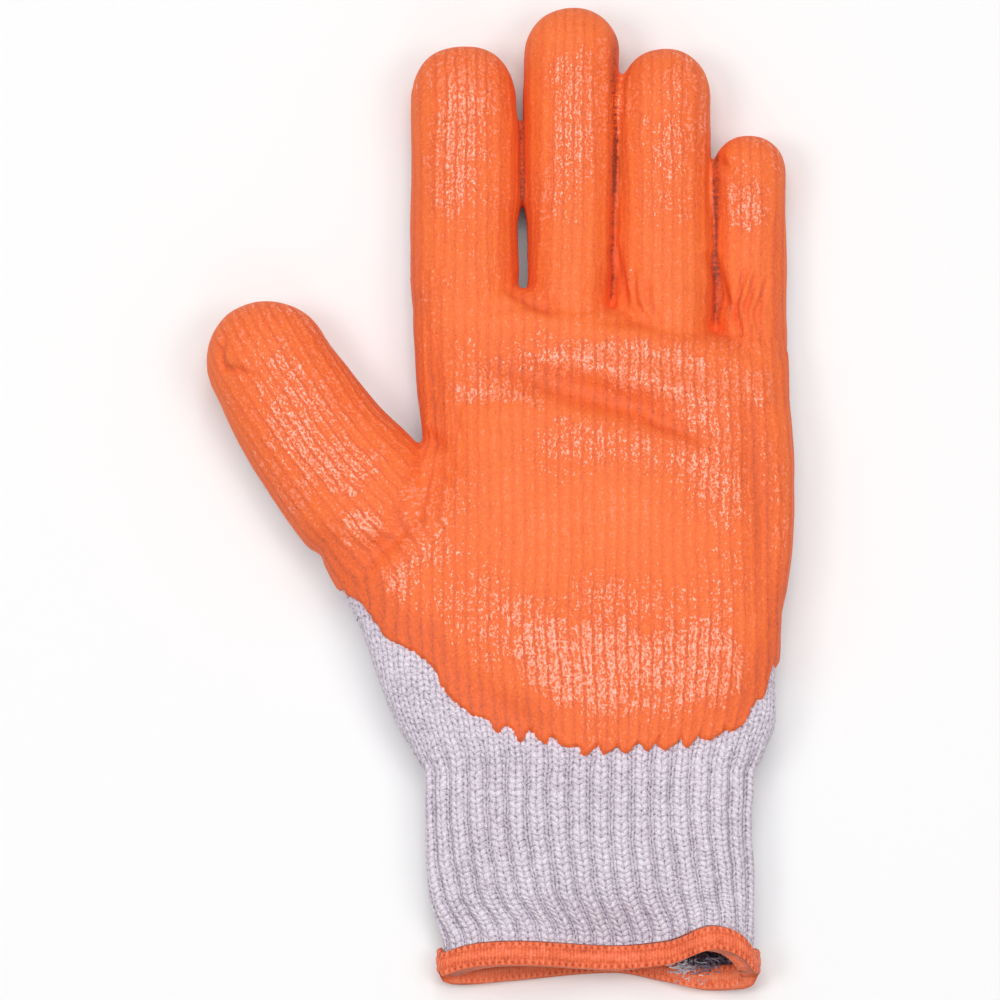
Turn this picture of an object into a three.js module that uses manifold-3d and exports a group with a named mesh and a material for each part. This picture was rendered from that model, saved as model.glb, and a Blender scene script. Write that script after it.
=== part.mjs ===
// Latex coated grip glove for a left hand, lying on its back with the palm up.
// Millimetres. +X points to the little finger's side, +Y to the fingertips and +Z out of the palm.
// A seamless string-knit hand and ribbed cuff, a sewn hem at the cuff's edge, and a latex dip over the palm.
import * as THREE from "three";
import { mergeVertices } from "three/addons/utils/BufferGeometryUtils.js";
import Module from "manifold-3d";

const wasm = await Module();
wasm.setup();

// Walls and clearances
const KNIT_WALL = 1.6;
const COAT_WALL = 1.0;
const COAT_GAP = 0.3; // between the knit and the latex over it
const SEAM_GAP = 0.3; // between two knitted stretches that meet
const FINGER_GAP = 0.7; // between two coated fingers side by side

// Cuff and hem
const CUFF_LENGTH = 52;
const CUFF_WIDTH = 82;
const CUFF_THICKNESS = 23;
const CUFF_OFFSET = -2.5; // the cuff's middle lies this far to the thumb's side of the palm's middle
const RIB_COUNT = 36;
const RIB_DEPTH = 1.1;
const HEM_HEIGHT = 6.4;
const HEM_WALL = 0.9;
const HEM_GAP = 0.3; // between the hem and the knit edge that it wraps
const HEM_OUT = HEM_WALL + HEM_GAP;

// Hand
const PALM_LENGTH = 120; // from the wrist to the knuckle line, at the palm's middle
const PALM_THICKNESS = 27;
const HEEL_LENGTH = 40; // the stretch of knit from the wrist to below the thumb
const GRIP_LENGTH = 34; // the next one, up to the thumb's crotch
const KNUCKLE_SLOPE = -0.24; // how the knuckle line falls towards the little finger
const KNUCKLE_ROUNDING = 9;
const ROOT_OVERLAP = 17; // how far a stall's shape runs on into the palm

// Coated fingers
const KNUCKLE_WIDTH = 95.2; // across the four roots and the gaps between them
const FINGER_LENGTH = 75.2; // the longest finger, from the knuckle line to its tip
const FINGER_THICKNESS = 21; // the thickest finger

// The fingers from the thumb's side: the root's share of the knuckles, the width below the tip as a share of
// the root's, shares of the length and thickness above, and the lean in degrees to the little finger's side
const FINGERS = [
  { name: "index", root: 0.305, tip: 0.93, reach: 0.778, thick: 1, lean: -0.8 },
  { name: "middle", root: 0.231, tip: 1.126, reach: 1, thick: 1, lean: 1.1 },
  { name: "ring", root: 0.272, tip: 0.909, reach: 0.934, thick: 0.95, lean: 0.5 },
  { name: "little", root: 0.192, tip: 1.028, reach: 0.707, thick: 0.81, lean: -0.5 },
];

// Thumb
const THUMB_WIDTH = 38; // across its root
const THUMB_THICKNESS = 24;
const THUMB_REACH = 31; // from the root's middle to the tip, across the hand
const THUMB_RISE = 48; // the same, along the hand
const THUMB_BOW = 4.5; // how far its middle line bows to the outside
const THUMB_ROOT_UP = 71.5; // the root's middle above the wrist
const THUMB_ROOT_OUT = 59; // the root's middle outside the palm's middle line
const THUMB_OVERLAP = 16; // how far the thumb's shape runs on into the palm

// Widths of the limbs' hidden ends inside the palm, as shares of their roots
const HIDDEN_WIDTH = 0.88;
const HIDDEN_THUMB_WIDTH = 0.72;

// Dip level: how high above the table the latex ends on the glove's sides
const DIP_LEVEL = 7.5;
const DIP_TOOTH = 2.2; // height of the teeth where the latex ran down the ribs
const TOOTH_PITCH = 5.6; // a rib's width where the knit widens above the cuff
const TIP_LIFT = 3.2; // height of the fingertips' underside above the table

// Cross-section shape
const WAIST = 0.46; // height of the widest point as a share of the thickness
const FLATTENING = 1.35; // how much deeper than the table an unflattened underside would reach
const FINGER_POWER = 2.2;
const PALM_POWER = 2.7;
const CUFF_POWER = 2.3;
const FINGER_SIDES = 12;
const PALM_SIDES = 26;
const PALM_CAP_RINGS = 2;
const TIP_RINGS = 3;
const TIP_STRETCH = 1.05; // a tip's rounding is this share of its half width long

// A stall from its root to where its tip starts to round: how far its width has gone over from the root's
// to the tip's, and its thickness and lift as shares
const FINGER_SHAPE = [
  { along: 0, change: 0, thickness: 1.06, lift: 0 },
  { along: 0.28, change: 0.25, thickness: 0.98, lift: 0 },
  { along: 0.62, change: 0.8, thickness: 0.96, lift: 0.2 },
  { along: 1, change: 1, thickness: 0.95, lift: 1 },
];
const THUMB_SHAPE = [
  { along: 0, width: 1.0, thickness: 1.06, lift: 0 },
  { along: 0.4, width: 0.93, thickness: 0.98, lift: 0.1 },
  { along: 0.72, width: 0.87, thickness: 0.94, lift: 0.5 },
  { along: 1, width: 0.8, thickness: 0.9, lift: 1 },
];

// The palm's two sides as shares of half its width, and its thickness, from the wrist to the knuckles
const PALM_SHAPE = [
  { along: 0.055, thumbSide: 1.0, littleSide: 0.89, thickness: 0.92 },
  { along: 0.13, thumbSide: 1.11, littleSide: 0.95, thickness: 0.96 },
  { along: 0.22, thumbSide: 1.2, littleSide: 0.945, thickness: 1.0 },
  { along: 0.32, thumbSide: 1.29, littleSide: 0.95, thickness: 1.03 },
  { along: 0.41, thumbSide: 1.4, littleSide: 0.99, thickness: 1.03 },
  { along: 0.48, thumbSide: 1.47, littleSide: 1.015, thickness: 1.02 },
  { along: 0.57, thumbSide: 1.22, littleSide: 1.03, thickness: 1.0 },
  { along: 0.68, thumbSide: 0.93, littleSide: 1.03, thickness: 0.98 },
  { along: 0.8, thumbSide: 0.96, littleSide: 1.02, thickness: 0.95 },
  { along: 0.91, thumbSide: 0.98, littleSide: 1.01, thickness: 0.88 },
];

// The cuff from its end to the wrist: its sides as shares of half its width, and how far the end's form lasts
const CUFF_SHAPE = [
  { along: 0, thumbSide: 0.9, littleSide: 1, gape: 1 },
  { along: 0.135, thumbSide: 0.9, littleSide: 1, gape: 1 },
  { along: 0.4, thumbSide: 0.97, littleSide: 1, gape: 0.45 },
  { along: 0.75, thumbSide: 1, littleSide: 0.99, gape: 0.1 },
  { along: 1, thumbSide: 1, littleSide: 1, gape: 0 },
];
// The end's form across its width, pinched in the middle and gaping at the little finger's side. The front's
// height is a share of the cuff's thickness, and how far the two edges are drawn up one of the cuff's length.
const CUFF_END = [
  { across: -1, height: 0.55, front: 0.07, back: 0.05 },
  { across: -0.55, height: 0.72, front: 0.088, back: 0.054 },
  { across: 0.1, height: 0.38, front: 0.079, back: 0.085 },
  { across: 0.42, height: 0.5, front: 0.092, back: 0.042 },
  { across: 0.72, height: 1.04, front: 0.154, back: 0 },
  { across: 1, height: 0.85, front: 0.096, back: 0.027 },
];

// Dents in the palm's side: place and size as shares of the palm's half width and length, depth as a share of
// its thickness, and turn in degrees
const DENTS = [
  { name: "hollow", x: 0.15, y: 0.45, length: 0.55, width: 0.42, turn: -10, depth: 0.15 },
  { name: "grip_fold", x: 0.02, y: 0.79, length: 0.55, width: 0.1, turn: -18, depth: 0.12 },
  { name: "thumb_fold", x: -1.02, y: 0.565, length: 0.45, width: 0.11, turn: 56, depth: 0.12 },
  { name: "wrist_fold", x: -0.5, y: 0.13, length: 0.3, width: 0.1, turn: -38, depth: 0.07 },
];

// The latex edge at the wrist: across as shares of the palm's half width, up as shares of its length
const DIP_EDGE = [
  { across: -1.6, up: 0.44 },
  { across: -1.32, up: 0.377 },
  { across: -1.12, up: 0.285 },
  { across: -0.92, up: 0.226 },
  { across: -0.76, up: 0.15 },
  { across: -0.57, up: 0.092 },
  { across: -0.34, up: 0.062 },
  { across: 0, up: 0.032 },
  { across: 0.32, up: 0.038 },
  { across: 0.6, up: 0.068 },
  { across: 0.74, up: 0.088 },
  { across: 0.86, up: 0.15 },
  { across: 0.93, up: 0.22 },
  { across: 1.2, up: 0.4 },
];

const COAT = COAT_GAP + COAT_WALL;
const WRIST_Y = CUFF_LENGTH;
const PALM_HALF = KNUCKLE_WIDTH / 2;
const KNIT_PALM_HALF = PALM_HALF - COAT;
const KNIT_PALM_TOP = PALM_THICKNESS - COAT;
const SKY = 4 * PALM_THICKNESS; // above everything

const knuckleY = (x) => WRIST_Y + PALM_LENGTH + KNUCKLE_SLOPE * x;

/** A value of one column of a table, eased between the rows on each side. */
function tableAt(table, key, at, column) {
  if (at <= table[0][key]) return table[0][column];
  for (let i = 1; i < table.length; i++)
    if (at <= table[i][key]) {
      const t = (at - table[i - 1][key]) / (table[i][key] - table[i - 1][key]);
      return THREE.MathUtils.lerp(table[i - 1][column], table[i][column], t * t * (3 - 2 * t));
    }
  return table.at(-1)[column];
}

/** Turns closed geometry into a manifold solid that faces out. */
function solid(geometry) {
  const bare = geometry.clone();
  for (const name of Object.keys(bare.attributes)) if (name !== "position") bare.deleteAttribute(name);
  const merged = mergeVertices(bare, 1e-4);
  const made = new wasm.Manifold(
    new wasm.Mesh({
      numProp: 3,
      vertProperties: merged.attributes.position.array,
      triVerts: new Uint32Array(merged.index.array),
    }),
  );
  if (made.volume() > 0) return made;
  const flipped = new Uint32Array(merged.index.array).reverse();
  return new wasm.Manifold(
    new wasm.Mesh({ numProp: 3, vertProperties: merged.attributes.position.array, triVerts: flipped }),
  );
}

const union = (solids) => solids.reduce((a, b) => a.add(b));

/** A closed solid through rings of equally many points, with a fan over each end. */
function loft(rings) {
  const count = rings[0].length;
  const points = rings.flat();
  const index = [];
  for (let r = 0; r + 1 < rings.length; r++)
    for (let i = 0; i < count; i++) {
      const a = r * count + i;
      const b = r * count + ((i + 1) % count);
      index.push(a, b, b + count, a, b + count, a + count);
    }
  for (const [ring, start] of [
    [rings[0], 0],
    [rings.at(-1), (rings.length - 1) * count],
  ]) {
    const middle = ring.reduce((sum, p) => sum.add(p), new THREE.Vector3()).divideScalar(count);
    points.push(middle);
    for (let i = 0; i < count; i++) {
      const edge = [start + i, start + ((i + 1) % count)];
      if (start === 0) edge.reverse();
      index.push(...edge, points.length - 1);
    }
  }
  const geometry = new THREE.BufferGeometry().setFromPoints(points).setIndex(index);
  return solid(geometry);
}

/** Angles that divide a turn evenly. */
const turns = (sides) => Array.from({ length: sides }, (_, i) => (2 * Math.PI * i) / sides);

/** Points of one cross-section, as across and up. The underside is pressed flat where it meets its floor. */
function section({ left, right, top, floor, power }, angles, grow) {
  const waist = floor + (top - floor) * WAIST;
  const bend = (v) => Math.sign(v) * Math.abs(v) ** (2 / power);
  return angles.map((angle) => {
    const c = bend(Math.cos(angle));
    const s = bend(Math.sin(angle));
    const middle = (right - left) / 2;
    const half = (right + left) / 2;
    const up =
      s > 0
        ? waist + (top + grow - waist) * s
        : Math.max(floor - grow, waist + (waist - floor + grow) * FLATTENING * s);
    const across = middle + (half + grow) * c;
    return { across, base: middle + half * c, up, share: c, raised: Math.max(0, s) };
  });
}

/** How deep the palm's side is dented at a point. */
function dentAt(x, y) {
  let depth = 0;
  for (const d of DENTS) {
    const turn = THREE.MathUtils.degToRad(d.turn);
    const dx = x - d.x * KNIT_PALM_HALF;
    const dy = y - (WRIST_Y + d.y * PALM_LENGTH);
    const u = (dx * Math.cos(turn) + dy * Math.sin(turn)) / (d.length * KNIT_PALM_HALF);
    const v = (dy * Math.cos(turn) - dx * Math.sin(turn)) / (d.width * KNIT_PALM_HALF);
    depth += d.depth * PALM_THICKNESS * Math.exp(-(u * u) - v * v);
  }
  return depth;
}

/** Lowers a point by the dent at its base, so that layers over each other keep their distance. */
const dented = (point, base, raised) => point.setZ(point.z - dentAt(base.x, base.y) * raised);

/** Sections along a limb that ends in a round tip. place turns along, across and up into a point. */
function limb({ stations, reach, tip, place, grow }) {
  const rings = stations.map((st) => ({ ...st, along: st.along * reach, shrink: 1, add: 0 }));
  const last = rings.at(-1);
  for (let k = 1; k <= TIP_RINGS; k++) {
    const angle = ((Math.PI / 2) * k) / (TIP_RINGS + 0.35);
    rings.push({ ...last, shrink: Math.cos(angle), add: (tip + grow) * Math.sin(angle) });
  }
  return loft(
    rings.map(({ along, add, half, top, floor, shrink }) => {
      const waist = floor + (top - floor) * WAIST;
      const shape = { left: half, right: half, top, floor, power: FINGER_POWER };
      return section(shape, turns(FINGER_SIDES), grow).map((p) =>
        dented(
          place(along + add, p.across * shrink, waist + (p.up - waist) * shrink),
          place(along, p.base * shrink, 0),
          p.raised,
        ),
      );
    }),
  );
}

/** Each finger's sizes and the middle of its root, counted across from the thumb's side. */
function fingerRoots() {
  let edge = -PALM_HALF;
  return FINGERS.map(({ name, root, tip, reach, thick, lean }) => {
    const rootWidth = root * (KNUCKLE_WIDTH - FINGER_GAP * (FINGERS.length - 1));
    const x = edge + rootWidth / 2;
    edge += rootWidth + FINGER_GAP;
    const sizes = { rootWidth, tipWidth: rootWidth * tip, length: FINGER_LENGTH * reach };
    return { name, ...sizes, thickness: FINGER_THICKNESS * thick, lean, x, y: knuckleY(x) };
  });
}
const ROOTS = fingerRoots();

/** A point in a finger's own frame, which leans in plan. */
const placeFinger = (finger) => (along, across, up) => {
  const lean = THREE.MathUtils.degToRad(finger.lean);
  return new THREE.Vector3(
    finger.x + across * Math.cos(lean) + along * Math.sin(lean),
    finger.y + along * Math.cos(lean) - across * Math.sin(lean),
    up,
  );
};

function fingerLimb(finger, grow) {
  const half = (change) => THREE.MathUtils.lerp(finger.rootWidth, finger.tipWidth, change) / 2 - COAT;
  const knitTop = finger.thickness - COAT;
  const stations = FINGER_SHAPE.map((s) => ({
    along: s.along,
    half: half(s.change),
    floor: TIP_LIFT * s.lift,
    top: TIP_LIFT * s.lift + knitTop * s.thickness,
  }));
  const tip = half(1) * TIP_STRETCH;
  const reach = finger.length - COAT - tip;
  const hidden = { half: half(0) * HIDDEN_WIDTH, top: KNIT_PALM_TOP * 0.8 };
  stations.unshift({ ...stations[0], ...hidden, along: -ROOT_OVERLAP / reach });
  return limb({ stations, reach, tip, place: placeFinger(finger), grow });
}

/** The thumb's middle line in plan, from its root to its tip. */
const THUMB_LINE = new THREE.QuadraticBezierCurve3(
  new THREE.Vector3(-THUMB_ROOT_OUT, WRIST_Y + THUMB_ROOT_UP, 0),
  new THREE.Vector3(
    -THUMB_ROOT_OUT - THUMB_REACH / 2 - THUMB_BOW * 0.8,
    WRIST_Y + THUMB_ROOT_UP + THUMB_RISE / 2 - THUMB_BOW * 0.6,
    0,
  ),
  new THREE.Vector3(-THUMB_ROOT_OUT - THUMB_REACH, WRIST_Y + THUMB_ROOT_UP + THUMB_RISE, 0),
);
const THUMB_LENGTH = THUMB_LINE.getLength();

/** A point beside the thumb's middle line, which runs on straight beyond its ends. */
function placeThumb(along, across, up) {
  const t = THREE.MathUtils.clamp(along / THUMB_LENGTH, 0, 1);
  const ahead = THUMB_LINE.getTangentAt(t);
  const point = THUMB_LINE.getPointAt(t).addScaledVector(ahead, along - t * THUMB_LENGTH);
  return point.add(new THREE.Vector3(ahead.y, -ahead.x, 0).multiplyScalar(across)).setZ(up);
}

function thumbLimb(grow) {
  const tip = (THUMB_WIDTH / 2 - COAT) * THUMB_SHAPE.at(-1).width * TIP_STRETCH;
  const reach = THUMB_LENGTH - COAT - tip;
  const stations = THUMB_SHAPE.map((s) => ({
    along: s.along,
    half: (THUMB_WIDTH / 2 - COAT) * s.width,
    floor: TIP_LIFT * s.lift,
    top: TIP_LIFT * s.lift + (THUMB_THICKNESS - COAT) * s.thickness,
  }));
  const hidden = { half: stations[0].half * HIDDEN_THUMB_WIDTH };
  stations.unshift({ ...stations[0], ...hidden, along: -THUMB_OVERLAP / reach });
  return limb({ stations, reach, tip, place: placeThumb, grow });
}

/** The cuff's end where it meets the hand, which the palm's first section repeats. */
const WRIST = {
  left: CUFF_WIDTH / 2 - CUFF_OFFSET,
  right: CUFF_WIDTH / 2 + CUFF_OFFSET,
  top: CUFF_THICKNESS,
  floor: 0,
  power: CUFF_POWER,
};

function palm(grow, runOut = 0) {
  const stations = [
    { ...WRIST, along: -runOut, shrink: 1 },
    ...(runOut ? [{ ...WRIST, along: 0, shrink: 1 }] : []),
    ...PALM_SHAPE.map((s) => ({
      along: s.along * PALM_LENGTH,
      left: KNIT_PALM_HALF * s.thumbSide,
      right: KNIT_PALM_HALF * s.littleSide,
      floor: 0,
      top: KNIT_PALM_TOP * s.thickness,
      power: PALM_POWER,
      shrink: 1,
    })),
  ];
  const last = stations.at(-1);
  for (let k = 1; k <= PALM_CAP_RINGS; k++) {
    const angle = ((Math.PI / 2) * k) / (PALM_CAP_RINGS + 0.6);
    const along = PALM_LENGTH - COAT - KNUCKLE_ROUNDING + (KNUCKLE_ROUNDING + grow) * Math.sin(angle);
    stations.push({ ...last, along, shrink: Math.cos(angle) });
  }
  return loft(
    stations.map(({ along, shrink, ...shape }) => {
      const waist = shape.floor + (shape.top - shape.floor) * WAIST;
      const slope = KNUCKLE_SLOPE * THREE.MathUtils.smoothstep(along / PALM_LENGTH, 0.5, 1);
      return section(shape, turns(PALM_SIDES), grow).map(({ across, base, up, raised }) => {
        const y = WRIST_Y + along + slope * base;
        return dented(new THREE.Vector3(across, y, waist + (up - waist) * shrink), { x: base, y }, raised);
      });
    }),
  );
}

const hand = (grow, runOut) =>
  union([palm(grow, runOut), ...ROOTS.map((f) => fingerLimb(f, grow)), thumbLimb(grow)]);

/** Angles at which a section's outline is divided into stretches of one length. */
function evenTurns(shape, sides) {
  const fine = turns(sides * 20);
  const points = section(shape, [...fine, 0], 0);
  const run = [0];
  for (let i = 1; i < points.length; i++) {
    const [a, b] = [points[i - 1], points[i]];
    run.push(run[i - 1] + Math.hypot(b.across - a.across, b.up - a.up));
  }
  return turns(sides).map((turn) => fine[run.findIndex((r) => r >= (run.at(-1) * turn) / (2 * Math.PI))]);
}
const RIB_TURNS = evenTurns(WRIST, RIB_COUNT * 2); // one on each rib's crest and one in each valley

/** One ring round the cuff: out from the knit's face by grow, with ribs of the given depth. */
function cuffRing(y, grow, depth = 0) {
  const along = y / CUFF_LENGTH;
  const reach = ["thumbSide", "littleSide"].map((side) => tableAt(CUFF_SHAPE, "along", along, side));
  const gape = tableAt(CUFF_SHAPE, "along", along, "gape");
  const floor = HEM_OUT * gape; // the hem lies on the table, and the knit in it a little above
  const shape = { ...WRIST, left: WRIST.left * reach[0], right: WRIST.right * reach[1], floor };
  return section(shape, RIB_TURNS, grow).map(({ share: across, raised }, i) => {
    const end = (column) => tableAt(CUFF_END, "across", across, column);
    const high = THREE.MathUtils.lerp(1, end("height"), gape);
    const out = grow - (i % 2 ? depth : 0);
    const [p] = section({ ...shape, top: shape.top * high }, [RIB_TURNS[i]], out);
    const share = THREE.MathUtils.lerp(end("back"), end("front"), THREE.MathUtils.smoothstep(raised, 0, 0.8));
    return new THREE.Vector3(p.across, y + gape * share * CUFF_LENGTH, p.up);
  });
}

/** A closed solid through rings that come back to the first one. */
function closedTube(rings) {
  const count = rings[0].length;
  const index = [];
  for (let r = 0; r < rings.length; r++)
    for (let i = 0; i < count; i++) {
      const next = (i + 1) % count;
      const a = r * count;
      const b = ((r + 1) % rings.length) * count;
      index.push(a + i, a + next, b + next, a + i, b + next, b + i);
    }
  return solid(new THREE.BufferGeometry().setFromPoints(rings.flat()).setIndex(index));
}

/** The ribbed knit, up its outside and back down its inside. */
function ribCuff() {
  const from = HEM_OUT;
  const to = CUFF_LENGTH - SEAM_GAP;
  const plain = HEM_HEIGHT + HEM_GAP; // under the hem the ribs are sewn flat
  const ribbed = HEM_HEIGHT * 1.8;
  const up = [from, plain, ribbed, 0.4 * CUFF_LENGTH, 0.75 * CUFF_LENGTH, to];
  const outside = up.map((y) => cuffRing(y, 0, RIB_DEPTH * THREE.MathUtils.smoothstep(y, plain, ribbed)));
  const inside = [to, 0.75 * CUFF_LENGTH, 0.4 * CUFF_LENGTH, plain, from].map((y) => cuffRing(y, -KNIT_WALL));
  return closedTube([...outside, ...inside]);
}

/** The hem's band, folded over the knit's edge: its outer face up and down, then its inner face. */
function hem() {
  const inner = -KNIT_WALL - HEM_OUT;
  const path = [
    { y: 0, grow: HEM_OUT },
    { y: HEM_HEIGHT, grow: HEM_OUT },
    { y: HEM_HEIGHT, grow: HEM_GAP },
    { y: HEM_WALL, grow: HEM_GAP },
    { y: HEM_WALL, grow: -KNIT_WALL - HEM_GAP },
    { y: HEM_HEIGHT, grow: -KNIT_WALL - HEM_GAP },
    { y: HEM_HEIGHT, grow: inner },
    { y: 0, grow: inner },
  ];
  return closedTube(path.map(({ y, grow }) => cuffRing(y, grow)));
}

/** A prism over a plan outline, from one height up. */
function prism(outline, from) {
  const shape = new THREE.Shape(outline.map(([x, y]) => new THREE.Vector2(x, y)));
  const geometry = new THREE.ExtrudeGeometry(shape, { depth: SKY - from, bevelEnabled: false });
  return solid(geometry.translate(0, 0, from));
}

/** The plan outline beyond a finger's root line, wide enough for that finger's knit alone. */
function fingerPlan(finger, back) {
  const half = (Math.max(finger.rootWidth, finger.tipWidth) - COAT) / 2;
  const left = half + (finger === ROOTS[0] ? SKY : 0);
  const right = half + (finger === ROOTS.at(-1) ? SKY : 0);
  const tip = (across) => placeFinger(finger)(finger.length + SKY, across, 0).toArray().slice(0, 2);
  return [
    [finger.x - left, knuckleY(finger.x - left) - back],
    [finger.x + right, knuckleY(finger.x + right) - back],
    tip(right),
    tip(-left),
  ];
}

/** The plan outline beyond the thumb's root line. */
function thumbPlan(back) {
  const corner = (along, across) => placeThumb(along, across, 0).toArray().slice(0, 2);
  const half = THUMB_WIDTH / 2;
  return [
    corner(-back, -half - COAT * 4),
    corner(-back, half + SEAM_GAP),
    corner(THUMB_LENGTH + SKY, half + SEAM_GAP),
    corner(THUMB_LENGTH + SKY, -2 * THUMB_WIDTH),
    corner(-back, -2 * THUMB_WIDTH),
  ];
}

const below = -SKY / 2;
const RUN_OUT = 2; // how far a cutting shape runs past what it cuts
const skin = hand(0).subtract(hand(-KNIT_WALL, RUN_OUT));
const stalls = ROOTS.map((f) => skin.intersect(prism(fingerPlan(f, 0), below)));
const thumbStall = skin.intersect(prism(thumbPlan(0), below));
const bareOfLimbs = skin.subtract(
  union([...ROOTS.map((f) => prism(fingerPlan(f, SEAM_GAP), below)), prism(thumbPlan(SEAM_GAP), below)]),
);

/** The hand's knit, without the stalls, between two heights above the wrist. */
function handBand(from, to) {
  const [low, high] = [WRIST_Y + from, WRIST_Y + to];
  const outline = [
    [-SKY, low],
    [SKY, low],
    [SKY, high],
    [-SKY, high],
  ];
  return bareOfLimbs.intersect(prism(outline, below));
}
const heelKnit = handBand(-RUN_OUT, HEEL_LENGTH);
const palmKnit = handBand(HEEL_LENGTH + SEAM_GAP, HEEL_LENGTH + GRIP_LENGTH);
const knuckleKnit = handBand(HEEL_LENGTH + GRIP_LENGTH + SEAM_GAP, PALM_LENGTH + SKY);

/** The volume that was under the latex over the palm, with teeth where the ribs meet its edge. */
function palmDip() {
  const teethFrom = -0.55 * PALM_HALF;
  const teethTo = 0.8 * PALM_HALF;
  const edge = DIP_EDGE.map((d) => [d.across * PALM_HALF, WRIST_Y + d.up * PALM_LENGTH]);
  const smooth = new THREE.CatmullRomCurve3(edge.map(([x, y]) => new THREE.Vector3(x, y, 0)));
  const outline = [];
  const steps = DIP_EDGE.length * 2;
  for (let i = 0; i <= steps; i++) {
    const { x, y } = smooth.getPoint(i / steps);
    if (x < teethFrom || x > teethTo) outline.push([x, y]);
    else if (outline.at(-1)[0] < teethFrom)
      for (let tooth = teethFrom; tooth < teethTo; tooth += TOOTH_PITCH) {
        const at = (share) => tooth + share * TOOTH_PITCH;
        const line = (px) => WRIST_Y + PALM_LENGTH * tableAt(DIP_EDGE, "across", px / PALM_HALF, "up");
        outline.push([at(0.1), line(at(0.1)) + DIP_TOOTH], [at(0.5), line(at(0.5)) - DIP_TOOTH * 0.3]);
      }
  }
  const far = knuckleY(0) + KNUCKLE_ROUNDING;
  outline.push([edge.at(-1)[0], far], [edge[0][0], far]);
  return prism(outline, DIP_LEVEL);
}

/** The dip's volume along one limb: it falls away below the tip, so that the whole tip is coated. */
function limbDip(length, [left, right], place) {
  const side = [
    [-ROOT_OVERLAP, DIP_LEVEL],
    [length * 0.45, DIP_LEVEL * 0.85],
    [length * 0.8, DIP_LEVEL * 0.4],
    [length * 0.86, below],
    [length + SKY, below],
    [length + SKY, SKY],
    [-ROOT_OVERLAP, SKY],
  ];
  const shape = new THREE.Shape(side.map(([y, z]) => new THREE.Vector2(y, z)));
  const geometry = new THREE.ExtrudeGeometry(shape, { depth: left + right, bevelEnabled: false });
  const position = geometry.attributes.position;
  for (let i = 0; i < position.count; i++) {
    const p = place(position.getX(i), position.getZ(i) - left, position.getY(i));
    position.setXYZ(i, p.x, p.y, p.z);
  }
  return solid(geometry);
}

const dipped = union([
  palmDip(),
  ...ROOTS.map((f) => {
    const side = Math.max(f.rootWidth, f.tipWidth) / 2 + FINGER_GAP / 2;
    const free = side + ROOT_OVERLAP;
    const sides = [f === ROOTS[0] ? free : side, f === ROOTS.at(-1) ? free : side];
    return limbDip(f.length, sides, placeFinger(f));
  }),
  limbDip(THUMB_LENGTH, [THUMB_WIDTH * 0.62, THUMB_WIDTH * 0.62], placeThumb),
]);
const coating = hand(COAT).subtract(hand(COAT_GAP)).intersect(dipped);

const KNIT_COLOUR = "#d0c4d0";
const LATEX_COLOUR = "#f7702f";
const HEM_COLOUR = "#f0703c";

/** A named mesh from a manifold solid. */
function meshOf(name, made, color, roughness) {
  const { vertProperties, triVerts, numProp } = made.getMesh();
  const geometry = new THREE.BufferGeometry();
  const positions = new Float32Array((vertProperties.length / numProp) * 3);
  for (let i = 0; i < positions.length / 3; i++)
    positions.set(vertProperties.subarray(i * numProp, i * numProp + 3), i * 3);
  geometry.setAttribute("position", new THREE.BufferAttribute(positions, 3));
  geometry.setIndex(new THREE.BufferAttribute(triVerts, 1));
  const mesh = new THREE.Mesh(geometry, new THREE.MeshStandardMaterial({ color, roughness, metalness: 0 }));
  mesh.name = name;
  return mesh;
}

const glove = new THREE.Group();
glove.add(
  meshOf("heel_knit", heelKnit, KNIT_COLOUR, 0.9),
  meshOf("palm_knit", palmKnit, KNIT_COLOUR, 0.9),
  meshOf("knuckle_knit", knuckleKnit, KNIT_COLOUR, 0.9),
  meshOf("thumb_stall", thumbStall, KNIT_COLOUR, 0.9),
  ...ROOTS.map((f, i) => meshOf(`${f.name}_stall`, stalls[i], KNIT_COLOUR, 0.9)),
  meshOf("rib_cuff", ribCuff(), KNIT_COLOUR, 0.9),
  meshOf("sewn_hem", hem(), HEM_COLOUR, 0.7),
  meshOf("latex_coating", coating, LATEX_COLOUR, 0.35),
);

// The origin is the middle of the glove's own box, on the table that it lies on.
const box = new THREE.Box3().setFromObject(glove);
glove.position.set(-(box.min.x + box.max.x) / 2, -(box.min.y + box.max.y) / 2, -box.min.z);

export default glove;
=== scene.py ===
"""Latex coated grip glove for a left hand, lying on its back with the palm up.

Shapes are worked out in millimetres in the glove's own frame: x is 0 on the palm's middle line and
grows to the little finger's side, y is 0 at the cuff's end and z is 0 on the table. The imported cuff
says where that frame lies in the scene, which is in metres.
"""

import math

import bpy
import numpy as np
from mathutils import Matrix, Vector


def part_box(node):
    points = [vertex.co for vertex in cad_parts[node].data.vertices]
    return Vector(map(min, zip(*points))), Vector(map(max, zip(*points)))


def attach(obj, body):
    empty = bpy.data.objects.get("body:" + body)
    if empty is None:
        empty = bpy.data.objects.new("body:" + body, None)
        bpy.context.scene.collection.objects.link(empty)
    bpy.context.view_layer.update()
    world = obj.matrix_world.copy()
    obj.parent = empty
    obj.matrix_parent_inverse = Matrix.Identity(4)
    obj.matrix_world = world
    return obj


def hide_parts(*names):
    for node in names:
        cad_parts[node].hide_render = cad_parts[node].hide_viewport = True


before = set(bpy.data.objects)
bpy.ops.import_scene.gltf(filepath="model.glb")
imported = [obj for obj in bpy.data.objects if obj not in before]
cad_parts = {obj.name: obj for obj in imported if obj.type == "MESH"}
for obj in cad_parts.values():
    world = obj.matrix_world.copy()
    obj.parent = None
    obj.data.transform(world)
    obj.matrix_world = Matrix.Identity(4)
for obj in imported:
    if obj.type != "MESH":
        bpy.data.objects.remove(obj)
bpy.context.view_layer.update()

METRES = 0.001


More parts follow.
